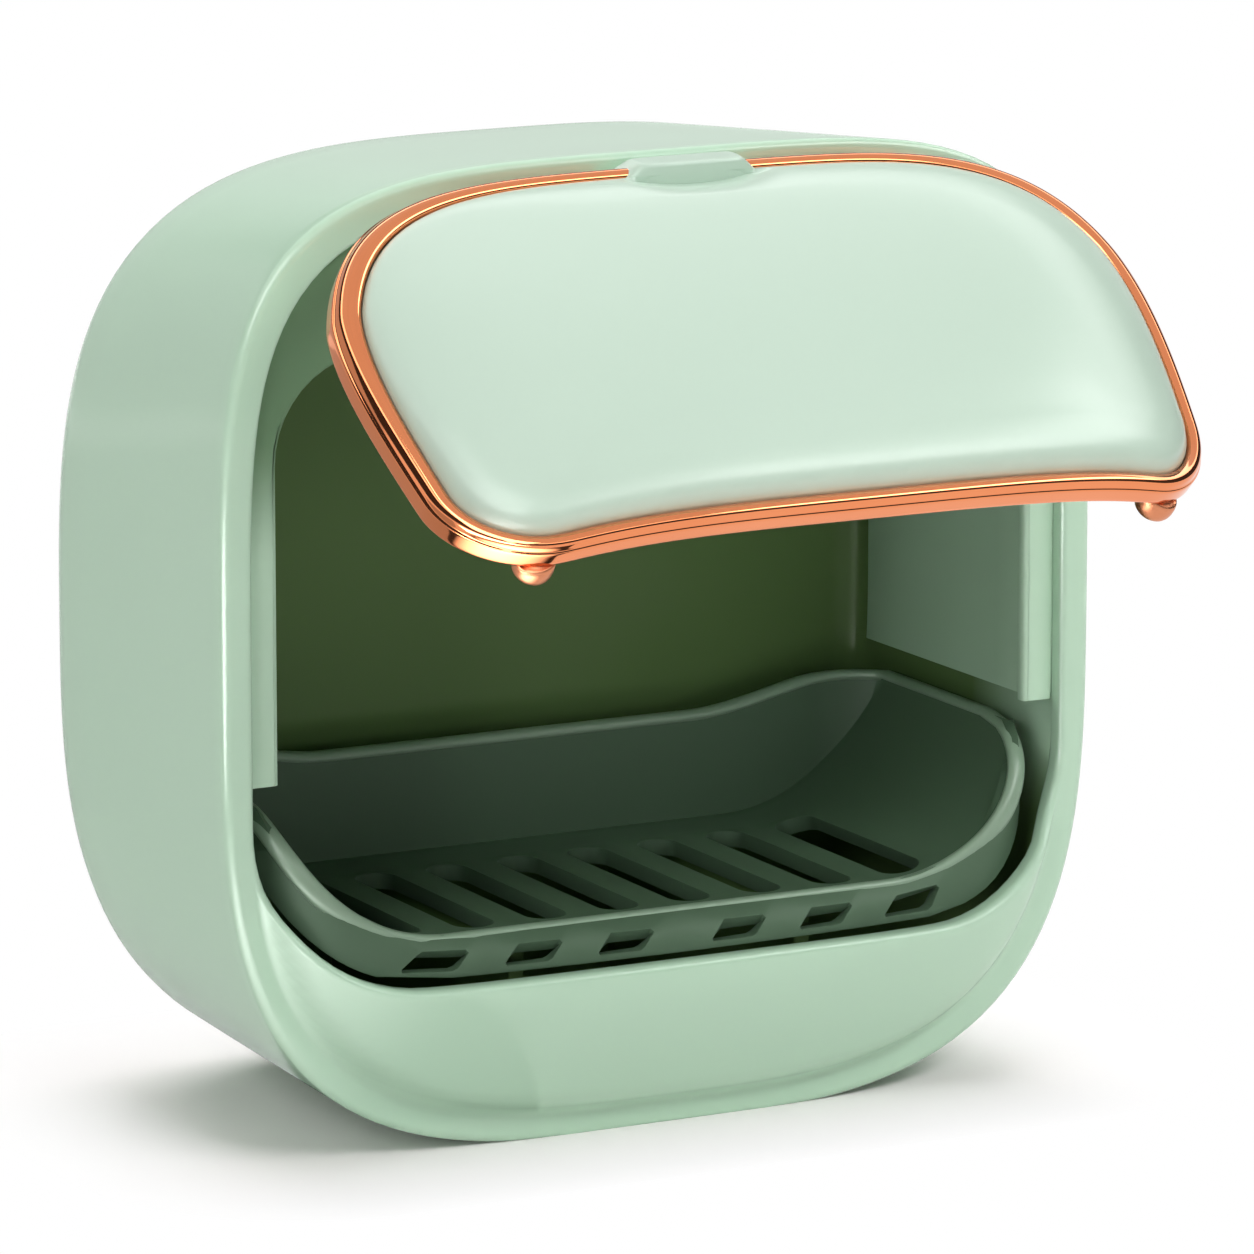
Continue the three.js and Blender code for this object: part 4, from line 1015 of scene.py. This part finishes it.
bm = bmesh.new()
for i in range(SLOT_COUNT):
    skin_through(bm, slot_loop((i - (SLOT_COUNT - 1) / 2) * SLOT_PITCH))
bmesh.ops.remove_doubles(bm, verts=bm.verts, dist=1e-4)
for side in SIDES:
    for k in range(STEPS):
        start, stop = (lerp(BLOCK_HALF, SECTION_END, step / STEPS) for step in (k, k + 1))
        edges = border(bm, lambda co: abs(co.x - side * start) < 1e-3)
        grow_sheet(bm, edges, lambda co: Vector((side * stop, co.y, 0)))
for pick, edge_y, way in ((min, SLOT_NEAR, -1), (max, SLOT_FAR, 1)):
    for share in (0.35, 0.7, 1.0):
        level = pick(v.co.y for v in bm.verts)
        edges = border(bm, lambda co: abs(co.y - level) < 1e-3)
        grow_sheet(bm, edges, lambda co: Vector((co.x, edge_y + way * share, 0)))
print("flat sheet", len(bm.faces), "faces with", SLOT_COUNT, "slots")

# %% [markdown]
# ### Bending the sheet
# Every point of the flat sheet is carried to its place on the bend, and the last row at the
# back is pulled up into the low back wall. The sheet gets its thickness and its soft edges
# from two modifiers.

# %% Bent tray
def tray_place(u, v):
    """Bends a point of the flat sheet into the tray."""
    x, z = tray_bend(u)
    front, back = rim_front(x, z), tray_back(x) - TRAY["wall"]
    near, far = SLOT_NEAR, SLOT_FAR
    if abs(u) > BLOCK_HALF:
        near, far = max(near, front + 1.0), min(far, back - 1.0)
    if v <= SLOT_NEAR:
        return at(x, lerp(near, front, SLOT_NEAR - v), z)
    if v >= SLOT_FAR:
        return at(x, lerp(far, back, v - SLOT_FAR), z)
    return at(x, lerp(near, far, (v - SLOT_NEAR) / (SLOT_FAR - SLOT_NEAR)), z)


def sheet_piece(bm, name, facing, thickness, edge_width):
    """A sheet turned to face a direction, with its thickness and its soft edges."""
    bmesh.ops.recalc_face_normals(bm, faces=bm.faces)
    if sum(face.normal.dot(facing) for face in bm.faces) < 0:
        bmesh.ops.reverse_faces(bm, faces=bm.faces)
    piece = as_object(bm, name, tray_green)
    thick = piece.modifiers.new("sheet_thickness", "SOLIDIFY")
    thick.thickness = thickness * MM
    thick.offset = -1.0
    edge = piece.modifiers.new("soft_edges", "BEVEL")
    edge.width = edge_width * MM
    edge.segments = 3
    edge.limit_method = "ANGLE"
    edge.angle_limit = math.radians(50)
    print(name, "faces", len(piece.data.polygons))
    return piece


back_edges = border(bm, lambda co: co.y > SLOT_FAR + 0.999)
back_verts = new_verts(bmesh.ops.extrude_edge_only(bm, edges=back_edges))
for vert in bm.verts:
    vert.co = tray_place(vert.co.x, vert.co.y)
    if vert in back_verts:
        vert.co.z = max(vert.co.z, back_rim(vert.co.x / MM) * MM)
tray = sheet_piece(bm, "drain_tray_sheet", Vector((0, 0, 1)), TRAY["wall"], 0.5)
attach(tray, "tray")
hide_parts("drain_tray")

# %% [markdown]
# ## Rim of the tray
# The edge of the sheet is rolled over into a rounded rim that runs once round the tray: along
# the front, up over the shoulders, along the sides and over the low back. It is a small oval
# loop that is carried along the edge, thin at the front and as thick as the wall elsewhere.
# Its lighter green is a painted highlight for the light that the rim catches.

# %% Tray rim
RIM_HALF, RIM_SET_BACK = 0.85, 0.25


def rim_path():
    """Points on the edge of the tray with the sheet's inward normal at each."""
    path = []
    for k in range(161):
        u = lerp(-SECTION_END, SECTION_END, k / 160)
        x, z = tray_bend(u)
        turn = tray_turn(u)
        inward = Vector((-math.copysign(math.sin(turn), u), 0, math.cos(turn)))
        path.append((Vector((x, rim_front(x, z), z)), inward))
    x, _ = tray_bend(SECTION_END)
    near, far = SHOULDER["back"], tray_back(x) - TRAY["wall"]
    side = path[-1][1]
    other = Vector((-side.x, 0, side.z))
    for k in range(1, 12):
        path.append((Vector((x, lerp(near, far, k / 12), TRAY["top"])), side))
    for k in range(121):
        across = lerp(x, -x, k / 120)
        turned = side.lerp(Vector((0, -1, 0)), 1 - ease(44, 57, across)).lerp(other, ease(44, 57, -across))
        path.append((Vector((across, tray_back(across) - TRAY["wall"], back_rim(across))), turned))
    for k in range(1, 12):
        path.append((Vector((-x, lerp(far, near, k / 12), TRAY["top"])), other))
    return path


rows = []
path = rim_path()
for k, (place, normal) in enumerate(path):
    along = (path[(k + 1) % len(path)][0] - path[k - 1][0]).normalized()
    out = along.cross(normal).normalized()
    up = out.cross(along).normalized()
    full = ease(30.5, 38.0, place.z)
    thick, middle = lerp(0.75, 1.4, full), lerp(-0.45, -1.1, full)
    loop = []
    for turn in turns(16):
        across, height = RIM_HALF * math.cos(turn) - RIM_SET_BACK, thick * math.sin(turn) + middle
        loop.append(at(*(place + out * across + up * height)))
    rows.append(loop)
bm = bmesh.new()
skin_through(bm, rows, joined=True)
finish_piece(bm, "drain_tray_rim", "tray", rim_painted_highlight, [])

# %% [markdown]
# ## Tray apron
# A short lip hangs below the tray's front edge and hides the gap over the front wall. It has
# six slanted slots that let the water run out. Again each slot is a loop pulled out to its
# own stretch of the strip, the strip is extended round both corners, and the same modifiers
# give it its thickness and soft edges.

# %% Apron
APRON_SLOTS = (-35.5, -22.0, -8.5, 8.5, 22.0, 35.5)
APRON_CUTS = (-42.25, -28.75, -15.25, 0.0, 15.25, 28.75, 42.25)
APRON_HOLE = ((-4.0, 0.824), (1.9, 0.824), (2.6, 0.75), (4.2, 0.39), (4.0, 0.314), (-1.9, 0.314),
              (-2.6, 0.39), (-4.2, 0.75))
APRON_LEVELS = (0.0, 0.34, 1.0)
APRON_CORNER = 21.5
APRON_REACH = TRAY["half"] - 0.1


def inside_apron(x, z):
    if abs(x) > TRAY["half"] or z < TRAY["apron_low"]:
        return False
    return inside_corner(abs(x) - (TRAY["half"] - APRON_CORNER), TRAY["apron_low"] + APRON_CORNER - z,
                         APRON_CORNER)


def apron_place(u, share):
    """A point on the apron: share 0 on the tray's upper edge, 1 on the apron's lower edge."""
    top = tray_bend(u)
    turn = math.copysign(tray_turn(u), u)
    low = ray_to_edge(inside_apron, top, (top[0] + math.sin(turn), top[1] - math.cos(turn)))
    x, z = between(top, low, share)
    front = tray_front(min(APRON_REACH, max(-APRON_REACH, x)))
    return at(x, lerp(rim_front(*top), front, ease(0.0, 0.5, share)) - 0.15, z)


bm = bmesh.new()
upper, middle_level, lower = APRON_LEVELS
for middle, left, right in zip(APRON_SLOTS, APRON_CUTS, APRON_CUTS[1:]):
    hole = [apron_place(middle + du, share) for du, share in APRON_HOLE]
    stretch = ((left, lower), (middle + 2.0, lower), (right, lower), (right, middle_level), (right, upper),
               (middle - 2.0, upper), (left, upper), (left, middle_level))
    skin_through(bm, [hole, [apron_place(u, share) for u, share in stretch]])
for side in SIDES:
    made = bmesh.ops.create_grid(bm, x_segments=14, y_segments=2, size=1.0)
    for vert in made["verts"]:
        u = side * lerp(APRON_CUTS[-1], SECTION_END, (vert.co.x + 1) / 2)
        vert.co = apron_place(u, APRON_LEVELS[round(vert.co.y + 1)])
bmesh.ops.remove_doubles(bm, verts=bm.verts, dist=2e-5)
apron = sheet_piece(bm, "drain_tray_apron", Vector((0, -1, 0)), 2.0, 0.4)
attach(apron, "tray")

# %% [markdown]
# ## Screws
# Four small screws hold the liner and four more the lid's backing frame. Each has a low
# rounded head with a cross recess. A screw is made from circles, its crown is cut by eight
# planes and the cross is pressed in, and it is turned and moved to its solid's place.

# %% Screws
SCREW_SECTION = ((0.7, -4.2), (1.2, -3.6), (1.2, -0.95), (1.3, -0.9), (2.15, -0.9), (2.3, -0.75),
                 (2.3, -0.45), (2.15, -0.2), (1.8, -0.06), (1.55, 0.0))
SCREW_TIP = -4.4
CROSS = {"half": 0.32, "reach": 1.25, "deep": 0.55}
LINER_SCREWS = ((60.5, "lower"), (84.5, "upper"))
LINER_SCREW_Y = 25.0
LID_SCREWS = ((39.7, 78.8, "lower"), (31.7, 114.8, "upper"))
LID_SCREW_SEAT = 5.05


def screw(direction, place):
    """One cross head screw with its crown at a place and its shaft along a direction."""
    bm = bmesh.new()
    rows = []
    for radius, rise in SCREW_SECTION:
        rows.append([Vector((radius * math.cos(a), radius * math.sin(a), rise)) * MM for a in turns(32)])
    last = skin_through(bm, rows, start=Vector((0, 0, SCREW_TIP)) * MM)
    bmesh.ops.contextual_create(bm, geom=loop_edges(bm, last))
    for axis in ((1, 0, 0), (0, 1, 0)):
        for reach in (-CROSS["reach"], -CROSS["half"], CROSS["half"], CROSS["reach"]):
            top = [f for f in bm.faces if f.normal.z > 0.99 or min(v.co.z for v in f.verts) > -1e-6]
            geom = dict.fromkeys(item for f in top for item in (f, *f.edges, *f.verts))
            bmesh.ops.bisect_plane(bm, geom=list(geom), dist=1e-7, plane_co=Vector(axis) * reach * MM,
                                   plane_no=axis)
    cross = []
    for face in bm.faces:
        middle = face.calc_center_median() / MM
        near, far = sorted((abs(middle.x), abs(middle.y)))
        if middle.z > -0.001 and near < CROSS["half"] and far < CROSS["reach"]:
            cross.append(face)
    pressed = bmesh.ops.extrude_face_region(bm, geom=cross)
    bmesh.ops.delete(bm, geom=cross, context="FACES")
    for vert in new_verts(pressed):
        vert.co.z -= CROSS["deep"] * MM
    turned = direction.to_track_quat("-Z", "Y").to_matrix().to_4x4()
    bmesh.ops.transform(bm, matrix=Matrix.Translation(place) @ turned, verts=bm.verts)
    return bm


liner_half = lerp(HOUSING["width"], HOUSING["back_width"], LINER_SCREW_Y / HOUSING["depth"]) / 2 - LINER_IN
for side, word in NAMED_SIDES:
    for z, level in LINER_SCREWS:
        bm = screw(Vector((side, 0, 0)), at(side * (liner_half + 0.15), LINER_SCREW_Y, z))
        name = "_".join(("liner_screw", word, level))
        finish_piece(bm, name + "_cross", "housing", steel, [name], sharp=35)
    for x, z, level in LID_SCREWS:
        bm = screw(Vector((0, -1, 0)), at(side * x, lid_y(x, z) + LID_SCREW_SEAT, z))
        open_lid(bm)
        name = "_".join(("lid_screw", word, level))
        finish_piece(bm, name + "_cross", "lid", steel, [name], sharp=35)

# %% [markdown]
# ## Pad on the back
# A foam pad on the back holds the dish to a tiled wall. It is a flat cushion with rounded
# corners and a slightly rounded front edge, made from loops of a rounded rectangle. The
# small pins and washers of the hinge keep their solids and only get their finishes.

# %% Back pad and hinge parts
PAD = {"half": 40, "low": 37, "high": 97, "power": 14}
PAD_NEAR, PAD_FAR = 59.6, 61.0
PAD_SECTION = ((0.3, PAD_NEAR), (0.0, 59.8), (0.0, 60.6), (0.1, 60.85), (0.4, PAD_FAR), (3.0, PAD_FAR),
               (10.0, PAD_FAR), (20.0, PAD_FAR))
pad_middle = (PAD["low"] + PAD["high"]) / 2


def pad_row(inset, y):
    ring = rounded_square(PAD["half"] - inset, PAD["low"] + inset, PAD["high"] - inset,
                          PAD["power"], PAD["power"], 96)
    return [at(x, y, z) for x, z in ring]


bm = bmesh.new()
skin_through(bm, [pad_row(inset, y) for inset, y in PAD_SECTION],
             start=at(0, PAD_NEAR, pad_middle), end=at(0, PAD_FAR, pad_middle))
finish_piece(bm, "back_pad_foam", "housing", foam, ["adhesive_pad"], sharp=50)
for _, word in NAMED_SIDES:
    for node, finish in (("hinge_pin_", steel), ("friction_washer_", rubber)):
        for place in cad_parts[node + word].material_slots:
            place.material = finish
print("hinge pins and washers finished")

# %% [markdown]
# ## Floor and world
# The dish stands on a plain pale floor that keeps its soft shadow and fades to pure white
# further out. The world is white only where the camera or a polished surface looks straight
# at it; everything else gets its light from the lamps.

# %% Floor and world
AMBIENT = 0.02
FLOOR_CORE = (0.05, 0.022, 0.0)
FLOOR_FADE = (0.006, 0.034)


def stage_piece(bm, name, material):
    piece = as_object(bm, name, material, smooth=False)
    return piece


def maths(tree, operation, first, second, kind="Math", result="Value"):
    """A maths node between a socket and another socket or a fixed value."""
    node = tree.nodes.new("ShaderNode" + kind)
    node.operation = operation
    feed(tree, node, {0: first, 1: second})
    return node.outputs[result]


def vector_maths(tree, operation, first, second=(0.0, 0.0, 0.0), result="Vector"):
    return maths(tree, operation, first, second, "VectorMath", result)


def seen_directly(tree):
    """1 for rays from the camera and for those off polished or clear surfaces, else 0."""
    paths = tree.nodes.new("ShaderNodeLightPath").outputs
    seen = maths(tree, "MAXIMUM", paths["Is Camera Ray"], paths["Is Glossy Ray"])
    return maths(tree, "MAXIMUM", seen, paths["Is Transmission Ray"])


floor_white, tree, shader, coords = new_material("studio_floor")
pale = two_tones(tree, noise(tree, coords, 6.0, 2.0), (0.96, 0.91, 0.92, 1), (0.98, 0.93, 0.94, 1))
feed(tree, shader, {"Base Color": pale, "Roughness": 0.9, "Specular IOR Level": 0.1})
away = vector_maths(tree, "SUBTRACT", vector_maths(tree, "ABSOLUTE", coords), FLOOR_CORE)
away = vector_maths(tree, "LENGTH", vector_maths(tree, "MAXIMUM", away), result="Value")
far = spread(tree, away, 0.0, 1.0, FLOOR_FADE)
mixed = {"Fac": maths(tree, "MULTIPLY", far, seen_directly(tree)), 1: shader.outputs["BSDF"],
         2: add_node(tree, "Emission", {}, "Emission")}
feed(tree, tree.nodes["Material Output"], {"Surface": add_node(tree, "MixShader", mixed, "Shader")})
bm = bmesh.new()
bmesh.ops.create_grid(bm, x_segments=8, y_segments=8, size=3.0)
stage_piece(bm, "studio_floor", floor_white)

scene = bpy.context.scene
scene.world = bpy.data.worlds.new("studio_world")
scene.world.use_nodes = True
tree = scene.world.node_tree
strength = spread(tree, seen_directly(tree), AMBIENT, 1.0, (0.0, 1.0))
feed(tree, tree.nodes["Background"], {"Color": (1.0, 1.0, 1.0, 1.0), "Strength": strength})
print("world and floor set")

# %% [markdown]
# ## Cards that polished surfaces mirror
# Bands, panels and sheets of card stand and lie round the dish, as they would in a photo
# studio, and only glossy surfaces see them. A dark band gives the plated trim its dark lines
# and a white band, a ceiling and two panels its bright ones. A grey panel behind and another
# to the left keep the top and the side even, and sheets on the floor give the front wall and
# the edges their soft sheen.

# %% Studio cards
MIDDLE = Vector((0.0, 0.0, 0.07))
BAND_RADIUS = 1.9


def studio_card(bm, name, dark, light, glow=None):
    """A card in even tones; a glow is a place and the radius over which it fades out from there."""
    material, tree, shader, coords = new_material(name)
    tones = two_tones(tree, noise(tree, coords, 2.0, 2.0), (dark, dark, dark, 1), (light, light, light, 1))
    strength = 1.0
    if glow:
        away = vector_maths(tree, "DISTANCE", coords, glow[0], "Value")
        strength = spread(tree, away, 1.0, 0.0, (0.0, glow[1]))
    feed(tree, shader, {"Base Color": (0, 0, 0, 1), "Emission Color": tones,
                        "Emission Strength": strength})
    card = stage_piece(bm, name, material)
    card.visible_camera = card.visible_diffuse = card.visible_shadow = False


def band_card(name, low, high, dark, light):
    """A ring of card round the dish between two heights."""
    bm = bmesh.new()
    bmesh.ops.create_cone(bm, segments=96, radius1=BAND_RADIUS, radius2=BAND_RADIUS, depth=high - low,
                          matrix=Matrix.Translation((0, 0, (low + high) / 2)))
    studio_card(bm, name, dark, light)


def panel_card(name, place, size, tone, lying=False, fade=None):
    """A flat card that faces the dish, or lies on the floor."""
    facing = Vector((0, 0, 1)) if lying else MIDDLE - Vector(place)
    facing = facing.to_track_quat("Z", "Y")
    bm = bmesh.new()
    bmesh.ops.create_grid(bm, x_segments=2, y_segments=2, size=0.5,
                          matrix=Matrix.LocRotScale(Vector(place), facing, Vector((*size, 1.0))))
    studio_card(bm, name, 0.96 * tone, tone, (place, fade) if fade else None)


band_card("dark_band", 0.06, 1.2, 0.004, 0.01)
band_card("white_band", 1.2, 1.6, 2.6, 2.8)
bm = bmesh.new()
bmesh.ops.create_grid(bm, x_segments=4, y_segments=4, size=4.5, matrix=Matrix.Translation((0, 0, 2.2)))
studio_card(bm, "grey_ceiling", 0.74, 0.78)
panel_card("right_panel", (0.70, -0.44, 0.80), (0.9, 0.28), 6.0)
panel_card("back_panel", (0.6, 1.4, 0.31), (2.2, 0.62), 0.58)
panel_card("front_sheet", (-0.105, -0.09, 0.004), (0.17, 0.17), 11.0, lying=True, fade=0.08)
panel_card("left_sheet", (-0.40, -0.22, 0.003), (0.3, 0.3), 15.0, lying=True)
panel_card("left_panel", (-0.7, -0.55, 0.7), (0.6, 0.7), 6.0)
panel_card("shade_sheet", (-0.385, 0.46, 0.003), (0.73, 0.98), 0.45, lying=True)
panel_card("shade_panel", (-0.75, 1.2, 0.3), (1.3, 0.6), 0.55)
print("cards set")

# %% [markdown]
# ## Lamps and camera
# Three lamps above and behind light the top and the lid, a wide one high in front and a low
# strip fill the front and the inside, and a softbox on the left lights the side. Only the
# narrow strip on the left shows in polished surfaces. The camera looks from the left and a
# little above with a long lens.

# %% Lamps and camera
LENS, SENSOR = 241.8, 36.0
AIM = Vector((0.00809, -0.00297, 0.06192))
AZIMUTH, ELEVATION, DISTANCE = math.radians(-27.73), math.radians(11.62), 1.1435


def aim_at(thing, place, target):
    thing.location = place
    thing.rotation_euler = (target - thing.location).to_track_quat("-Z", "Y").to_euler()
    scene.collection.objects.link(thing)


def soft_lamp(name, place, size, power, shown=False):
    """A rectangular lamp; one that is shown also mirrors in polished surfaces."""
    data = bpy.data.lights.new(name, "AREA")
    data.shape = "RECTANGLE"
    data.size, data.size_y = size
    data.energy = power
    lamp = bpy.data.objects.new(name, data)
    lamp.visible_glossy = shown
    aim_at(lamp, place, MIDDLE)


soft_lamp("top_softbox", (-0.15, 0.15, 1.5), (1.2, 1.2), 7.0)
soft_lamp("back_softbox", (0.35, 0.45, 1.3), (0.9, 0.9), 8.0)
soft_lamp("rear_strip", (0.1, 1.0, 1.15), (0.9, 0.5), 6.0)
soft_lamp("front_softbox", (0.5, -1.1, 1.15), (1.3, 0.4), 13.5)
soft_lamp("low_strip", (0.1, -1.3, 0.2), (0.9, 0.2), 1.9)
soft_lamp("left_softbox", (-1.15, -0.45, 0.75), (0.5, 0.9), 4.8)
soft_lamp("left_strip", (-0.95, -0.85, 0.45), (0.12, 0.9), 1.6, shown=True)

camera_data = bpy.data.cameras.new("studio_camera")
camera_data.lens = LENS
camera_data.sensor_width = SENSOR
camera_data.clip_start = 0.01
camera_data.clip_end = 20.0
camera = bpy.data.objects.new("studio_camera", camera_data)
toward = Vector((math.sin(AZIMUTH) * math.cos(ELEVATION), -math.cos(AZIMUTH) * math.cos(ELEVATION),
                 math.sin(ELEVATION)))
aim_at(camera, AIM + DISTANCE * toward, AIM)
scene.camera = camera
scene.view_settings.view_transform = "Standard"
print("camera at", [round(v, 3) for v in camera.location])
